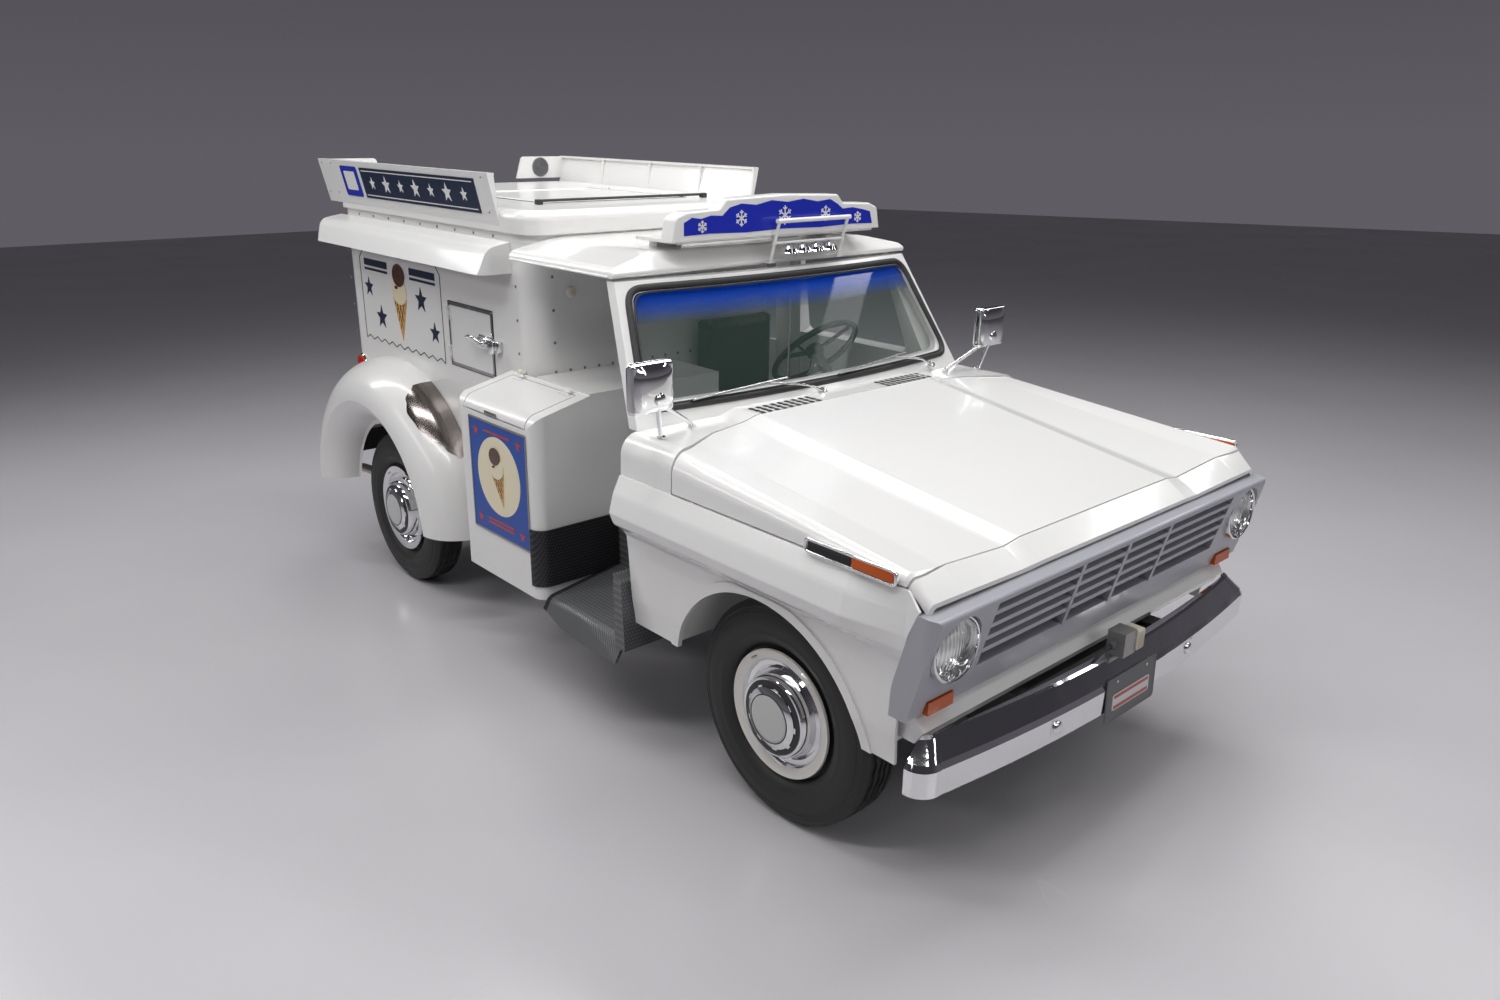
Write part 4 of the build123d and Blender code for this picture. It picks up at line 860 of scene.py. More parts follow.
def numberPlate(name, surface, middle):
    a, b = middle
    (wide, tall), (rimWide, rimTall), (blankWide, low, high) = (numberPlates[key] for key in ("holder", "rim", "blank"))
    (screwA, screwB), (reach, width) = numberPlates["screws"], numberPlates["band"]
    holder = patch(surface, oblong(a - wide, a + wide, b - tall, b + tall, 0.012), 0.0002, 0.0016)
    path = [surface(*point, 0.0016) for point in oblong(a - rimWide, a + rimWide, b - rimTall, b + rimTall, 0.010)]
    rim = tube("rim", path, 0.0018, True, 1, 2)
    settle(joined(name + "_holder", [holder, rim]), "truck", greyPlastic, 40)
    sheet = [patch(surface, oblong(a - blankWide, a + blankWide, b + low, b + high, 0.008), 0.0018, 0.0010)]
    for side in (-1, 1):
        sheet.append(patch(surface, disc(a + side * screwA, b + screwB, 0.005, 16), 0.0018, 0.0014))
    settle(joined(name + "_blank", sheet), "truck", blankPlate, 40)
    bands = [stroke(surface, (a - reach, b + dz), (a + reach, b + dz), width, 0.0028, 0.0008)
             for dz in numberPlates["bandRows"]]
    settle(joined(name + "_bands", bands), "truck", redPaint, 40)


numberPlate("front_plate", plateHolder, numberPlates["front"])
numberPlate("rear_plate", lambda y, z, out: boxRear(-y, z, out), numberPlates["rear"])

# Power inlet: ribbed cover, gland and two fixed leads that go down behind the bumper

inlet = {
    "cover": ((0.7000, 0.0205, 0.636), (0.7575, 0.0640, 0.706)),
    "ribs": 5, "ribX": (0.7560, 0.7598), "ribY": (0.0245, 0.0285), "ribZ": (0.642, 0.700), "pitch": 0.0078,
    "gland": [(0.0, 0.0), (0.016, 0.0), (0.016, 0.010), (0.012, 0.012), (0.012, 0.022), (0.0, 0.022)],
    "glandAt": (0.716, -0.0502, 0.668),
    "leadRadius": 0.0052,
    "lead": [((0.716, -0.071, 0.668), (0, 0, -0.006)), ((0.716, -0.110, 0.664), (0, -0.010, 0)),
             ((0.708, -0.150, 0.640), (0, 0, 0)), ((0.690, -0.150, 0.590), (0, -0.012, 0)),
             ((0.684, -0.150, 0.560), (0, 0, 0))],  # each place, and how far the second lead hangs from it
}
(ribX0, ribX1), (ribY0, ribY1), (ribZ0, ribZ1) = inlet["ribX"], inlet["ribY"], inlet["ribZ"]
ribs = [roundedBlock("rib", (ribX0, ribY0 + i * inlet["pitch"], ribZ0), (ribX1, ribY1 + i * inlet["pitch"], ribZ1),
                     0.0012, 1) for i in range(inlet["ribs"])]
inletCover = roundedBlock("cover", *inlet["cover"], 0.004, 3)
settle(joined("inlet_cover", [inletCover] + ribs), "truck", beigeFinish, 40)
gland = turned("inlet_gland", inlet["gland"], inlet["glandAt"], "-Y", 20)
settle(gland, "truck", greyPlastic, 40)
leads = []
for k in (0, 1):
    path = [[a + k * b for a, b in zip(place, wider)] for place, wider in inlet["lead"]]
    leads.append(tube("lead", path, inlet["leadRadius"], False, 3, 3))
settle(joined("inlet_leads", leads), "truck", rubberFinish, 60)

# Freezer body: rivets, plugs, hatch and door trim, latch

rivet = {"radius": 0.0068, "height": 0.0030, "edges": (-0.585, 0.585),
         "frontZ": (1.740, 1.607, 1.470, 1.335, 1.212),
         "frontRows": ((-0.513, 0.0725, 15, 1.212), (-0.44, 0.147, 7, 1.742)),
         "sideX": (-1.770, -3.430), "sideZ": (1.560, 1.420, 1.280, 1.140, 1.000, 0.860),
         "sideRow": (-1.93, -0.165, 9, 1.752), "rearZ": (1.700, 1.540, 1.380, 1.220, 1.060, 0.900, 0.760)}


def levelRow(surface, start, pitch, count, z):
    return [surface(start + i * pitch, z, 0.0) for i in range(count)]


frontRivets = [boxFront(y, z, 0.0) for y in rivet["edges"] for z in rivet["frontZ"]]
for row in rivet["frontRows"]:
    frontRivets += levelRow(boxFront, *row)
studRow("front_wall_rivets", frontRivets, rivet["radius"], rivet["height"], "+X", "truck", rivetGrey)
sideRivets = [rightSide(x, z, 0.0) for x in rivet["sideX"] for z in rivet["sideZ"]]
sideRivets += levelRow(rightSide, *rivet["sideRow"])
studRow("side_rivets", sideRivets, rivet["radius"], rivet["height"], "-Y", "truck", rivetGrey, True)
rearRivets = [boxRear(y, z, 0.0) for y in rivet["edges"] for z in rivet["rearZ"]]
studRow("rear_wall_rivets", rearRivets, rivet["radius"], rivet["height"], "-X", "truck", rivetGrey)

wallPlug = {"profile": [(0.024, -0.001), (0.024, 0.005), (0.020, 0.0105), (0.009, 0.0125), (0.008, 0.0085),
                        (0.0, 0.0080)], "at": (-0.497, 1.538)}
plug = turned("wall_plug", wallPlug["profile"], boxFront(*wallPlug["at"], 0.0), "+X", 28)
settle(plug, "truck", creamPlastic, 50)
wallKnob = {"profile": [(0.010, -0.001), (0.010, 0.012), (0.018, 0.016), (0.019, 0.026), (0.012, 0.031), (0.0, 0.032)],
            "at": (-1.733, 1.204)}
knob = turned("knob", wallKnob["profile"], rightSide(*wallKnob["at"], 0.0), "-Y", 28)
settleBoth(knob, "wall_knob", "truck", creamPlastic, 50)

# Old latch marks left in the paint above the plug
latchMarks = {"width": 0.010, "thickness": 0.0014, "lines": (
    ((-0.492, 1.600), (-0.492, 1.668)), ((-0.470, 1.600), (-0.470, 1.655)), ((-0.505, 1.668), (-0.455, 1.668)),
    ((-0.498, 1.700), (-0.462, 1.700)), ((-0.500, 1.722), (-0.468, 1.722)))}
marks = [stroke(boxFront, a, b, latchMarks["width"], 0.0, latchMarks["thickness"]) for a, b in latchMarks["lines"]]
settle(joined("latch_marks", marks), "truck", freezerPaint)

doorTrim = {"area": (-2.380, -1.975, 1.133, 1.432), "inset": 0.012, "end": 0.010, "width": 0.014, "lift": 0.0008,
            "thickness": 0.0026}


def sideDoorTrim():
    x0, x1, z0, z1 = doorTrim["area"]
    near, end = doorTrim["inset"], doorTrim["end"]
    edges = (((x0 + end, z0 + near), (x1 - end, z0 + near)), ((x0 + end, z1 - near), (x1 - end, z1 - near)),
             ((x0 + near, z0 + near), (x0 + near, z1 - near)), ((x1 - near, z0 + near), (x1 - near, z1 - near)))
    parts = [stroke(rightSide, a, b, doorTrim["width"], doorTrim["lift"], doorTrim["thickness"]) for a, b in edges]
    settle(joined("side_door_frame", parts), "side_door", chromeFinish)
    studs = [rightSide(x, z, 0.003) for x in (x0 + near, (x0 + x1) / 2, x1 - near) for z in (z0 + near, z1 - near)]
    studRow("side_door_screws", studs, 0.0042, 0.0020, "-Y", "side_door", steelFinish)


sideDoorTrim()

# Chrome latch: cast body and curved lever on the door, keeper with a roller on the frame
latch = {
    "body": ((-0.120, -0.024, -0.020), (-0.012, 0.024, -0.002)),
    "pad": ((-0.128, -0.030, -0.006), (-0.006, 0.030, -0.0005)),
    "boss": [(0.0, 0.0), (0.020, 0.0), (0.020, 0.018), (0.014, 0.030), (0.0, 0.034)],
    "bossAt": (-0.064, 0, -0.006),
    "lever": [(-0.064, 0.0, -0.034), (-0.080, 0.018, -0.046), (-0.120, 0.026, -0.048), (-0.168, 0.018, -0.040),
              (-0.186, 0.010, -0.034)],
    "leverRadius": 0.0088,
    "keeper": ((0.012, -0.026, -0.026), (0.070, 0.026, -0.0005)),
    "roller": [(0.0, -0.030), (0.012, -0.030), (0.014, -0.024), (0.014, 0.024), (0.012, 0.030), (0.0, 0.030)],
    "rollerAt": (0.036, 0, -0.036),
}


def castLatch(name, at, doorBody, turnTo):
    body = roundedBlock("body", *latch["body"], 0.008, 4)
    pad = roundedBlock("pad", *latch["pad"], 0.003, 2)
    boss = turned("boss", latch["boss"], latch["bossAt"], "-Z", 28)
    lever = tube("lever", latch["lever"], latch["leverRadius"], False, 3, 4)
    keeper = roundedBlock("keeper", *latch["keeper"], 0.008, 4)
    roller = turned("roller", latch["roller"], latch["rollerAt"], "+Y", 24)
    moving, fixed = joined(name, [body, pad, boss, lever]), joined(name + "_keeper", [keeper, roller])
    for piece, owner in ((moving, doorBody), (fixed, "truck")):
        piece.data.transform(Matrix.Translation(at) @ turnTo)
        settle(piece, owner, chromeFinish, 45)


outward = Matrix(((1, 0, 0), (0, 0, 1), (0, 1, 0))).to_4x4()
backward = Matrix(((0, 0, 1), (-1, 0, 0), (0, 1, 0))).to_4x4()
castLatch("side_door_latch", (-1.975, -0.680, 1.286), "side_door", outward)
castLatch("rear_door_latch", (-3.480, -0.420, 1.250), "back_door", backward)

gaskets = {"side_door_gasket": (rightSide, (-2.3775, -1.9775, 1.1355, 1.4295)),
           "rear_door_gasket": (boxRear, (-0.4175, 0.4175, 0.8525, 1.6375)),
           "hatch_gasket": (boxRoof, (-2.7975, -1.9825, -0.3975, 0.3975))}
for name, (surface, area) in gaskets.items():
    path = [surface(a, b, 0.0006) for a, b in oblong(*area, 0.004, 2)]
    settle(tube(name, path, 0.0022, True, 1, 1), "truck", rubberFinish)

# Hatch: a raised lip with a grip in it, and a stay rod across the roof in front
hatchTrim = {"grip": (-2.055, -2.005, -0.090, 0.090), "lip": (-2.765, -2.015, -0.365, 0.365),
             "stay": [(-1.925, -0.470, 1.886), (-1.925, 0.470, 1.886)], "feet": (-0.455, 0.455),
             "foot": ((-1.940, -0.014, 1.8702), (-1.910, 0.014, 1.892))}
gripPath = [boxRoof(a, b, 0.001) for a, b in oblong(*hatchTrim["grip"], 0.020)]
lipPath = [boxRoof(a, b, 0.0005) for a, b in oblong(*hatchTrim["lip"], 0.040)]
grip, lip = tube("grip", gripPath, 0.0035, True, 3, 2), tube("lip", lipPath, 0.0045, True, 3, 2)
settle(joined("hatch_relief", [grip, lip]), "hatch", freezerPaint, 60)
stay = tube("stay", hatchTrim["stay"], 0.006, False, 1, 2)
feet = [roundedBlock("foot", *((x, y + dy, z) for x, dy, z in hatchTrim["foot"]), 0.004, 2) for y in hatchTrim["feet"]]
settle(joined("hatch_stay", [stay] + feet), "truck", blackPaint, 40)

# Speaker on the left board's return plate: a round cover with raised rings
speaker = {"centre": (-3.5378, 0.560, 1.947), "rings": (0.010, 0.018, 0.026, 0.034),
           "cover": [(0.0, 0.004), (0.043, 0.004), (0.046, 0.007), (0.052, 0.007), (0.054, 0.002), (0.054, -0.0004),
                     (0.0, -0.0004)]}
cover = turned("cover", speaker["cover"], speaker["centre"], "+X", 40)
bars = []
for r in speaker["rings"]:
    section = [(r, 0.0035), (r + 0.003, 0.0035), (r + 0.0024, 0.0062), (r + 0.0006, 0.0062), (r, 0.0035)]
    bars.append(turned("bar", section, speaker["centre"], "+X", 32))
settle(joined("speaker_cover", [cover] + bars), "truck", greyPlastic, 40)

# Red side and rear lamps: a bright ring and a lens each
boxLamps = {
    "side_lamp": {"place": rightSide(-3.367, 0.979, 0.0), "facing": "-Y", "steps": 40,
                  "ring": [(0.0385, 0.0), (0.048, 0.001), (0.049, 0.008), (0.044, 0.014), (0.0385, 0.014),
                           (0.0385, 0.0)],
                  "lens": [(0.0380, 0.0200), (0.0375, 0.0235), (0.028, 0.0275), (0.012, 0.0292), (0.0, 0.0296)]},
    "rear_lamp": {"place": boxRear(-0.560, 0.860, 0.0), "facing": "-X", "steps": 44,
                  "ring": [(0.0555, 0.0), (0.066, 0.001), (0.067, 0.010), (0.062, 0.018), (0.0555, 0.018),
                           (0.0555, 0.0)],
                  "lens": [(0.0550, 0.0290), (0.0540, 0.0325), (0.040, 0.0360), (0.018, 0.0375), (0.0, 0.0380)]},
}
for name, lamp in boxLamps.items():
    ring = turned("ring", lamp["ring"], lamp["place"], lamp["facing"], lamp["steps"])
    settleBoth(ring, name + "_ring", "truck", chromeFinish, 40)
    lens = turned("lens", lamp["lens"], lamp["place"], lamp["facing"], lamp["steps"])
    settleBoth(lens, name + "_lens", "truck", redLens, 50)

print("freezer trim made")

# Blank signs and generic painted designs, in parts of each design's own radius

starForm = {"points": 5, "waist": 0.42, "turn": 90.0}
flakeForm = {"arms": 6, "turn": 30, "fork": 0.58, "tip": 0.36, "bends": (-50, 50), "thin": 0.8}
coneForm = {"half": 0.42, "rim": 0.18, "ridges": 4, "ridgeRim": 0.16, "ridgeWidth": 0.022, "short": 0.9,
            "low": (0.0, 0.36, 0.44, 32, 0.82), "high": (0.02, 0.80, 0.36, 32, 0.86),
            "shine": (-0.16, 0.46, 0.10, 20, 0.45)}


def star(a, b, radius):
    points = []
    for i in range(2 * starForm["points"]):
        reach = radius if i % 2 == 0 else radius * starForm["waist"]
        angle = math.radians(starForm["turn"] + 180 / starForm["points"] * i)
        points.append((a + reach * math.cos(angle), b + reach * math.sin(angle)))
    return points


def flake(surface, a, b, radius, lift, width=0.006):
    parts = []
    forkAt, tipAt = radius * flakeForm["fork"], radius * flakeForm["tip"]
    for i in range(flakeForm["arms"]):
        angle = math.radians(360 / flakeForm["arms"] * i + flakeForm["turn"])
        tip = (a + radius * math.cos(angle), b + radius * math.sin(angle))
        parts.append(stroke(surface, (a, b), tip, width, lift))
        fork = (a + forkAt * math.cos(angle), b + forkAt * math.sin(angle))
        for bend in flakeForm["bends"]:
            arm = angle + math.radians(bend)
            end = (fork[0] + tipAt * math.cos(arm), fork[1] + tipAt * math.sin(arm))
            parts.append(stroke(surface, fork, end, width * flakeForm["thin"], lift))
    return parts


def cone(surface, a, b, size, lift, body, name, tilt=0.0):
    def placed(points):
        c, s = math.cos(tilt), math.sin(tilt)
        return [(a + size * (x * c - z * s), b + size * (x * s + z * c)) for x, z in points]

    half, rim, short = coneForm["half"], coneForm["rim"], coneForm["short"]
    wafer = patch(surface, placed([(0.0, -1.0), (half, rim), (-half, rim)]), lift)
    ridges = []
    for k in range(1, coneForm["ridges"] + 1):
        t = k / (coneForm["ridges"] + 1)
        for lean in (-1, 1):
            upper = (lean * half * (1 - 2 * t), coneForm["ridgeRim"])
            lower = (lean * half * (1 - t) * short, rim - (1 + rim) * t * short)
            ends = placed([upper, lower])
            ridges.append(stroke(surface, *ends, size * coneForm["ridgeWidth"], lift + 0.0012, 0.0008))
    low = patch(surface, placed(disc(*coneForm["low"])), lift + 0.0010)
    high = patch(surface, placed(disc(*coneForm["high"])), lift + 0.0022)
    shine = patch(surface, placed(disc(*coneForm["shine"])), lift + 0.0024, 0.0008)
    settle(wafer, body, waferPaint).name = name + "_wafer"
    settle(joined(name + "_ridges", ridges + [shine]), body, brownPaint)
    settle(low, body, creamPaint).name = name + "_low_scoop"
    settle(high, body, brownPaint).name = name + "_high_scoop"


signFace = {"field": [(-0.500, 1.826), (-0.500, 1.872), (-0.462, 1.889), (-0.420, 1.883), (-0.372, 1.893),
                      (-0.318, 1.890), (-0.282, 1.918), (-0.225, 1.930), (-0.150, 1.923), (-0.070, 1.937),
                      (0.015, 1.928), (0.100, 1.937), (0.180, 1.924), (0.250, 1.931), (0.292, 1.912), (0.325, 1.891),
                      (0.385, 1.894), (0.445, 1.884), (0.490, 1.874), (0.506, 1.826), (0.380, 1.829), (0.200, 1.824),
                      (0.0, 1.829), (-0.200, 1.824), (-0.380, 1.829)],
            "flakes": ((-0.415, 1.855, 0.022), (-0.225, 1.877, 0.030), (0.0, 1.879, 0.036), (0.225, 1.877, 0.030),
                       (0.415, 1.855, 0.022))}
field = patch(roofSign, signFace["field"], 0.0, 0.0014)
settle(field, "truck", signBlue).name = "roof_sign_field"
crystals = []
for a, b, radius in signFace["flakes"]:
    crystals += flake(roofSign, a, b, radius, 0.0012, 0.0055)
settle(joined("roof_sign_flakes", crystals), "truck", labelWhite)

label = {"navy": (-3.075, -1.965, 1.842, 1.982), "blue": (-3.300, -3.112, 1.842, 1.984), "stars": 7, "pitch": 0.148,
         "starSizes": (0.030, 0.042), "screwX": (-3.51, -3.40, -1.90), "screwZ": (1.990, 1.850)}
a0, a1, b0, b1 = label["navy"]
field = patch(signRight, oblong(a0, a1, b0, b1), 0.0004, 0.0022)
settleBoth(field, "label_field", "truck", labelNavy)
stars = [patch(signRight, star(a0 + 0.11 + i * label["pitch"], (b0 + b1) / 2, label["starSizes"][i % 2]), 0.0024)
         for i in range(label["stars"])]
stars += [stroke(signRight, (a0 + 0.02, z), (a1 - 0.02, z), 0.004, 0.0024) for z in (b0 + 0.014, b1 - 0.014)]
settleBoth(joined("label_stars", stars), "label_stars", "truck", labelWhite)
a0, a1, b0, b1 = label["blue"]
field = patch(signRight, oblong(a0, a1, b0, b1, 0.012), 0.0004, 0.0022)
settleBoth(field, "badge_field", "truck", signBlue)
blank = patch(signRight, oblong(a0 + 0.034, a1 - 0.034, b0 + 0.030, b1 - 0.024, 0.008), 0.0024)
settleBoth(blank, "badge_blank", "truck", labelWhite)
boardScrews = [signRight(x, z, 0.0004) for x in label["screwX"] for z in label["screwZ"]]
studRow("board_screws", boardScrews, 0.0045, 0.002, "-Y", "truck", rivetGrey, True)

# Side design: a thin frame with a cone, plain stripes and stars
sideDesign = {"frame": (-3.300, -2.440, 1.130, 1.575), "stripes": ((1.520, 0.034), (1.486, 0.012)), "line": 0.0045,
              "coneZ": 1.345, "coneSize": 0.178, "cut": 0.04, "teeth": (21, 0.043, 0.014, -0.006), "band": (0.05, 0.31),
              "stars": ((0.085, 1.395, 0.052), (0.205, 1.255, 0.062), (0.655, 1.395, 0.062), (0.775, 1.255, 0.052))}
x0, x1, z0, z1 = sideDesign["frame"]
for name, surface in (("right", rightSide), ("left", lambda x, z, out: (x, 0.680 + out, z))):
    cut, (teeth, pitch, toothUp, toothDown) = sideDesign["cut"], sideDesign["teeth"]
    upper = [(x0, z0), (x0, z1 - cut), (x0 + cut, z1), (x1 - cut, z1), (x1, z1 - cut), (x1, z0)]
    lower = [(x0 + i * pitch, z0 + (toothUp if i % 2 else toothDown)) for i in range(teeth)]
    lines = strokes(surface, upper, sideDesign["line"], 0.0002) + strokes(surface, lower, sideDesign["line"], 0.0002)
    settle(joined("side_frame_" + name, lines), "truck", hubBlack)
    bands, (start, end) = [], sideDesign["band"]
    for z, width in sideDesign["stripes"]:
        bands.append(stroke(surface, (x0 + start, z), (x0 + end, z), width, 0.0004))
        bands.append(stroke(surface, (x1 - end, z), (x1 - start, z), width, 0.0004))
    bands += [patch(surface, star(x0 + along, z, radius), 0.0004) for along, z, radius in sideDesign["stars"]]
    settle(joined("side_stripes_" + name, bands), "truck", labelNavy)
    cone(surface, (x0 + x1) / 2, sideDesign["coneZ"], sideDesign["coneSize"], 0.0004, "truck", "side_cone_" + name)

# Locker picture: blue panel in a thin steel frame with a cream round and a cone
picture = {"panel": (-1.744, -1.308, 0.590, 1.066), "round": (-1.526, 0.850, 0.165), "star": 0.024,
           "starIn": (0.055, 0.050), "barHalf": 0.10, "barWidth": 0.009, "barIn": (0.045, 0.062, -0.040),
           "coneDown": 0.010, "coneSize": 0.118, "coneTilt": 0.25}
a0, a1, b0, b1 = picture["panel"]
panel = patch(lockerFace, oblong(a0, a1, b0, b1), 0.0002, 0.0022)
settle(panel, "truck", panelBlue).name = "picture_panel"
edge = strokes(lockerFace, [(a0, b0), (a1, b0), (a1, b1), (a0, b1), (a0, b0)], 0.008, 0.0014, 0.0024)
settle(joined("picture_frame", edge), "truck", steelFinish)
ca, cb, cr = picture["round"]
settle(patch(lockerFace, disc(ca, cb, cr, 48), 0.0024), "truck", creamPaint).name = "picture_round"
(da, db), reach = picture["starIn"], picture["barHalf"]
reds = [patch(lockerFace, star(a, b, picture["star"]), 0.0024)
        for b in (b1 - db, b0 + db) for a in (a0 + da, a1 - da)]
for rise in picture["barIn"]:  # from the panel's foot, or down from its top
    z = (b0 if rise > 0 else b1) + rise
    reds.append(stroke(lockerFace, (ca - reach, z), (ca + reach, z), picture["barWidth"], 0.0024))
settle(joined("picture_stars", reds), "truck", redPaint)
cone(lockerFace, ca, cb - picture["coneDown"], picture["coneSize"], 0.0036, "truck", "picture_cone",
     picture["coneTilt"])
print("designs made")

# Locker lids: a handle tab on each
lidTabs = {"right": ((-1.610, -0.9500, 1.0965), (-1.520, -0.9448, 1.1120)),
           "left": ((-1.960, 0.9448, 1.0965), (-1.870, 0.9500, 1.1120))}
for name, (low, high) in lidTabs.items():
    settle(roundedBlock("lid_tab_" + name, low, high, 0.0022, 2), "lid_" + name, steelFinish)

# Stone guard: polished plate on the front of each rear fender's crown
guard = {"angles": (33.0, 66.5), "outer": ((33.0, 0.7815), (37.5, 0.7725), (43.5, 0.752), (49.0, 0.734), (56.0, 0.728),
                                           (61.7, 0.745), (66.5, 0.775)),
         "wall": 0.6830, "centre": (-2.915, 0.2929), "arc": (0.5853, 0.7228, 0.1973), "lift": 0.0022, "grid": (40, 18)}


def guardOuter(angle):
    for (a0, r0), (a1, r1) in zip(guard["outer"], guard["outer"][1:]):
        if angle <= a1:
            t = (angle - a0) / (a1 - a0)
            t = t * t * (3 - 2 * t)
            return r0 + (r1 - r0) * t
    return guard["outer"][-1][1]


def stoneGuard():
    across, along = guard["grid"]
    clearSelection()
    bpy.ops.mesh.primitive_grid_add(x_subdivisions=across, y_subdivisions=along, size=2)
    piece = bpy.context.object
    u0, v0, bigR = guard["arc"]
    low, high = guard["angles"]
    for vertex in piece.data.vertices:
        angle = low + (high - low) * (vertex.co.x + 1) / 2
        turn = math.acos(min(1.0, (guardOuter(angle) - u0) / bigR))
        length = bigR * turn - (bigR * turn + v0 - guard["wall"]) * (vertex.co.y + 1) / 2
        turn, flat = max(0.0, length / bigR), min(0.0, length)
        r, y = u0 + (bigR + guard["lift"]) * math.cos(turn), v0 + (bigR + guard["lift"]) * math.sin(turn) + flat
        cx, cz = guard["centre"]
        vertex.co = (cx + r * math.cos(math.radians(angle)), -y, cz + r * math.sin(math.radians(angle)))
    applyModifier(piece, "SOLIDIFY", thickness=0.0014, offset=0)
    editAll(piece)
    bpy.ops.mesh.normals_make_consistent(inside=False)
    bpy.ops.object.mode_set(mode="OBJECT")
    settleBoth(piece, "stone_guard", "truck", guardSteel, 60)


stoneGuard()

# Mirrors: pane, rim, domed shell and joint
mirror = {
    "pane": (-0.995, -0.841, 1.320, 1.474), "paneX": -0.5662,
    "rim": (-0.998, -0.838, 1.317, 1.477), "rimX": -0.5655, "rimRadius": 0.0032,
    "shellX": -0.5300, "centre": (-0.918, 1.397), "half": 0.0795, "bulge": 0.013, "crown": 0.004, "tuck": 0.13,
    "joint": [(0.0, -0.006), (0.022, -0.006), (0.022, 0.004), (0.016, 0.009), (0.0, 0.010)],
    "jointAt": (-0.5150, -0.905, 1.360),
    "screws": ((-0.5475, -0.8755, 1.2198), (-0.5645, -0.8605, 1.2198)),
}


def mirrorShell():
    clearSelection()
    bpy.ops.mesh.primitive_grid_add(x_subdivisions=20, y_subdivisions=20, size=2)
    shell = bpy.context.object
    half, tuck, (midY, midZ) = mirror["half"], mirror["tuck"], mirror["centre"]
    for vertex in shell.data.vertices:
        u, v = vertex.co.x, vertex.co.y
        out = mirror["bulge"] * (1 - u ** 4) * (1 - v ** 4) + mirror["crown"] * (1 - u * u) * (1 - v * v)
        y, z = midY + half * u * (1 - tuck * v ** 4), midZ + half * v * (1 - tuck * u ** 4)
        vertex.co = (mirror["shellX"] + out, y, z)
    applyModifier(shell, "SOLIDIFY", thickness=0.001, offset=1)
    settleBoth(shell, "mirror_shell", "truck", chromeFinish, 60)


glassPane = patch(lambda y, z, out: (mirror["paneX"] - out, y, z), oblong(*mirror["pane"], 0.012), 0.0, 0.0012)
settleBoth(glassPane, "mirror_glass", "truck", mirrorGlass)
rimPath = [(mirror["rimX"], y, z) for y, z in oblong(*mirror["rim"], 0.014)]
settleBoth(tube("rim", rimPath, mirror["rimRadius"], True, 1, 2), "mirror_rim", "truck", chromeFinish, 50)
mirrorShell()
joint = turned("joint", mirror["joint"], mirror["jointAt"], "+X", 28)
screws = [stud("screw", place, 0.0045, 0.003, "+Z", 10) for place in mirror["screws"]]
settleBoth(joined("joint", [joint] + screws), "mirror_joint", "truck", chromeFinish, 50)

# Cab door handle, drip rails and the pole in the cab
doorHandle = {"path": [(-1.520, 0.952, 1.152), (-1.505, 0.972, 1.152), (-1.440, 0.978, 1.150), (-1.380, 0.974, 1.148),
                       (-1.365, 0.952, 1.148)], "radius": 0.0085,
              "pads": (-1.515, -1.370), "padHalf": 0.018, "padY": (0.947, 0.957), "padZ": (1.134, 1.168),
              "button": [(0.0, 0.0), (0.008, 0.0), (0.008, 0.008), (0.0, 0.009)], "buttonAt": (-1.515, 0.968, 1.152)}
handle = tube("handle", doorHandle["path"], doorHandle["radius"], False, 3, 3)
(padY0, padY1), (padZ0, padZ1), reach = doorHandle["padY"], doorHandle["padZ"], doorHandle["padHalf"]
pads = [roundedBlock("pad", (x - reach, padY0, padZ0), (x + reach, padY1, padZ1), 0.004, 2)
        for x in doorHandle["pads"]]
button = turned("button", doorHandle["button"], doorHandle["buttonAt"], "+Y", 16)
settle(joined("door_handle", [handle, button] + pads), "cab_door", chromeFinish, 50)

dripRail = {"path": [(-1.620, -0.7835, 1.694), (-1.100, -0.7835, 1.694), (-0.962, -0.7800, 1.694)], "radius": 0.0052}
drip = tube("drip", dripRail["path"], dripRail["radius"], False, 3, 2)
settleBoth(drip, "drip_rail", "truck", bodyPaint, 60)

cabPole = {"at": (-1.000, 0.153), "z": (0.645, 1.742), "radius": 0.0055, "footZ": 0.6402,
           "foot": [(0.0, 0.0), (0.024, 0.0), (0.022, 0.006), (0.008, 0.012), (0.0, 0.012)]}
pole = tube("pole", [(*cabPole["at"], z) for z in cabPole["z"]], cabPole["radius"], False, 1, 3)
poleFoot = turned("foot", cabPole["foot"], (*cabPole["at"], cabPole["footZ"]), "+Z", 20)
settle(joined("cab_pole", [pole, poleFoot]), "truck", brightSteel, 50)

# Horn button on the steering wheel
hornButton = {"profile": [(0.0, 0.0), (0.034, 0.0), (0.032, 0.008), (0.020, 0.013), (0.0, 0.014)], "tilt": -46,
              "wheelCentre": (-1.050, 0.360, 1.275), "axis": (-0.72, 0.694), "out": 0.021}
hub = turned("horn_button", hornButton["profile"], (0, 0, 0), "+Z", 32)
hub.rotation_euler = (0, math.radians(hornButton["tilt"]), 0)
(hubX, hubY, hubZ), (axisX, axisZ), out = hornButton["wheelCentre"], hornButton["axis"], hornButton["out"]
hub.location = (hubX + axisX * out, hubY, hubZ + axisZ * out)
settle(hub, "truck", greyPlastic, 50)

# Seat: cushion and back blown up by a cloth pass

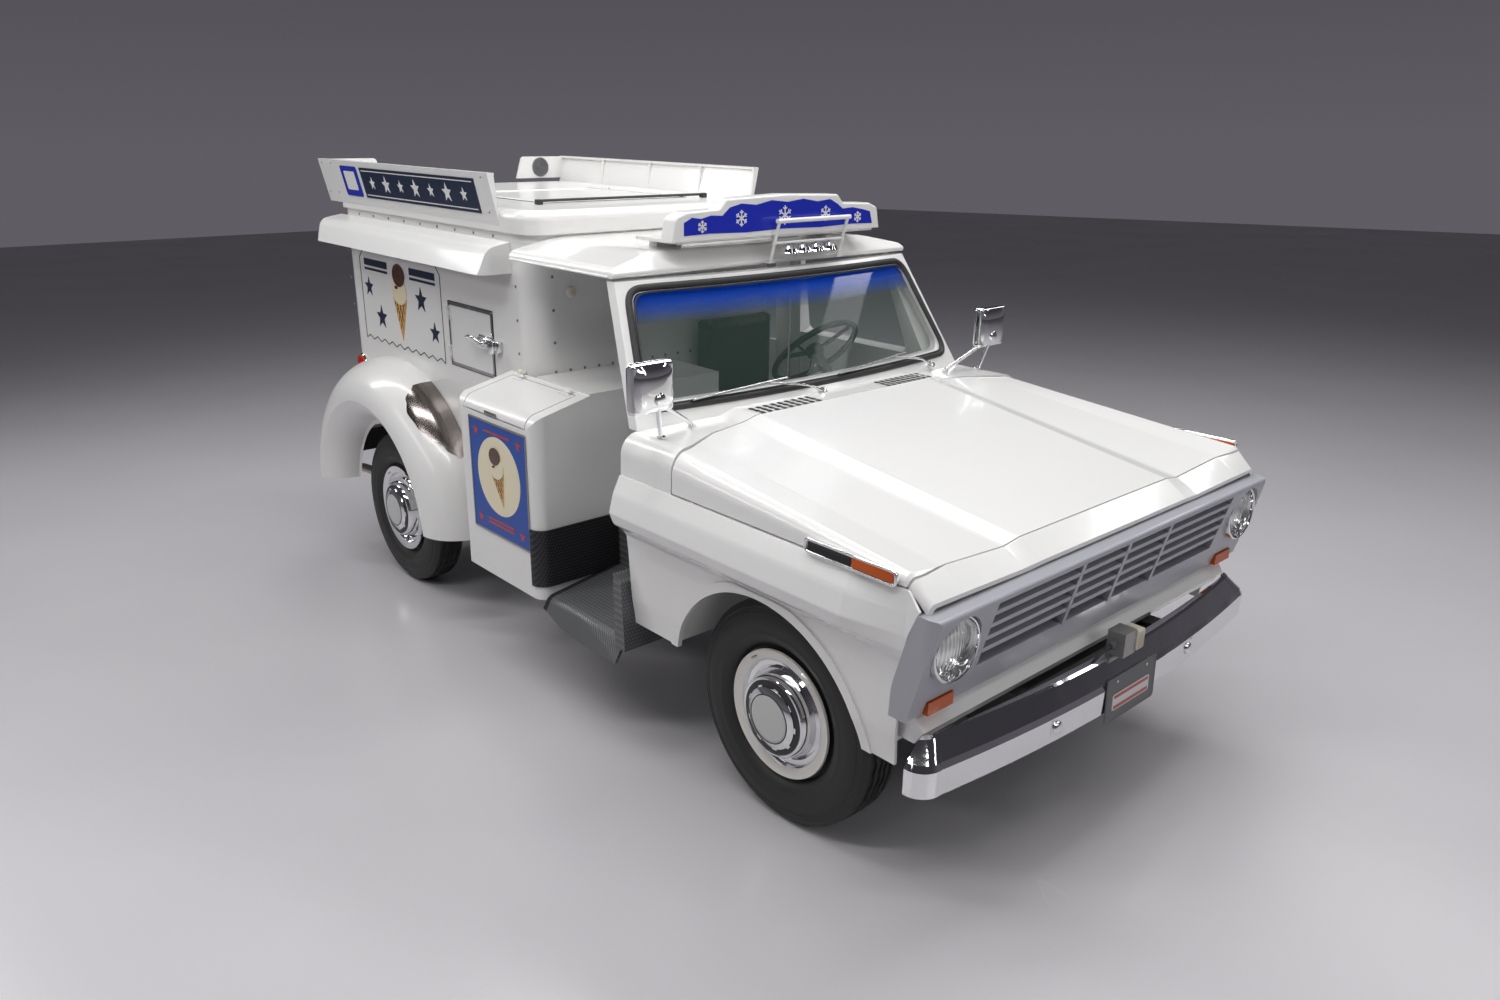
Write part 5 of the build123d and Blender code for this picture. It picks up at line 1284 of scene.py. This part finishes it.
pads = {
    "seat_cushion": {"low": (-1.552, 0.123, 0.897), "high": (-1.120, 0.557, 0.985), "round": 0.026, "cap": 0.012},
    "seat_back": {"low": (-1.594, 0.123, 0.996), "high": (-1.520, 0.557, 1.372), "round": 0.024, "cap": 0.012},
}
backForm = {"roundFrom": 1.20, "narrow": 0.16, "droop": 0.075, "lean": 0.004}
cushionForm = {"topFrom": 0.94, "riseFrom": -1.25, "riseOver": 0.13, "rise": 0.012}
clothPass = {"voxel": 0.006, "pressure": 4.0, "quality": 4, "frames": 20}


def padForm(name, low, high, radius):
    block = roundedBlock(name, low, high, radius, 4)
    editAll(block)
    bpy.ops.mesh.subdivide(number_cuts=7)
    bpy.ops.object.mode_set(mode="OBJECT")
    if name == "seat_back":
        middle, top = (low[1] + high[1]) / 2, high[2]
        for vertex in block.data.vertices:
            rise = max(0.0, vertex.co.z - backForm["roundFrom"]) / (top - backForm["roundFrom"])
            out = (vertex.co.y - middle) / (high[1] - middle)
            vertex.co.y = middle + (vertex.co.y - middle) * (1 - backForm["narrow"] * rise ** 2)
            vertex.co.z -= backForm["droop"] * rise * abs(out) ** 3
            vertex.co.x -= backForm["lean"] * rise
    else:
        for vertex in block.data.vertices:
            forward = max(0.0, (vertex.co.x - cushionForm["riseFrom"]) / cushionForm["riseOver"])
            if vertex.co.z > cushionForm["topFrom"]:
                vertex.co.z += cushionForm["rise"] * forward
    return block


def blownUp(piece, cap):
    applyModifier(piece, "REMESH", mode="VOXEL", voxel_size=clothPass["voxel"])
    before = [vertex.co.copy() for vertex in piece.data.vertices]
    cloth = piece.modifiers.new("Cloth", "CLOTH")
    cloth.settings.use_pressure = True
    cloth.settings.uniform_pressure_force = clothPass["pressure"]
    cloth.settings.effector_weights.gravity = 0.0
    cloth.settings.quality = clothPass["quality"]
    for frameNumber in range(1, clothPass["frames"] + 1):
        bpy.context.scene.frame_set(frameNumber)
    shaped = piece.evaluated_get(bpy.context.evaluated_depsgraph_get())
    moved = [vertex.co.copy() for vertex in shaped.data.vertices]
    piece.modifiers.remove(cloth)
    bpy.context.scene.frame_set(1)
    for vertex, old, new in zip(piece.data.vertices, before, moved):
        shift = new - old
        if shift.length > cap:
            shift *= cap / shift.length
        vertex.co = old + shift
    return piece


for name, pad in pads.items():
    piece = blownUp(padForm(name, pad["low"], pad["high"], pad["round"]), pad["cap"])
    applyModifier(piece, "SUBSURF", levels=1, render_levels=1)
    piece.name = name + "_pad"
    settle(piece, "truck", seatFinish, 70)
    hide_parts(name)
print("seat made")

print("scene pieces made")
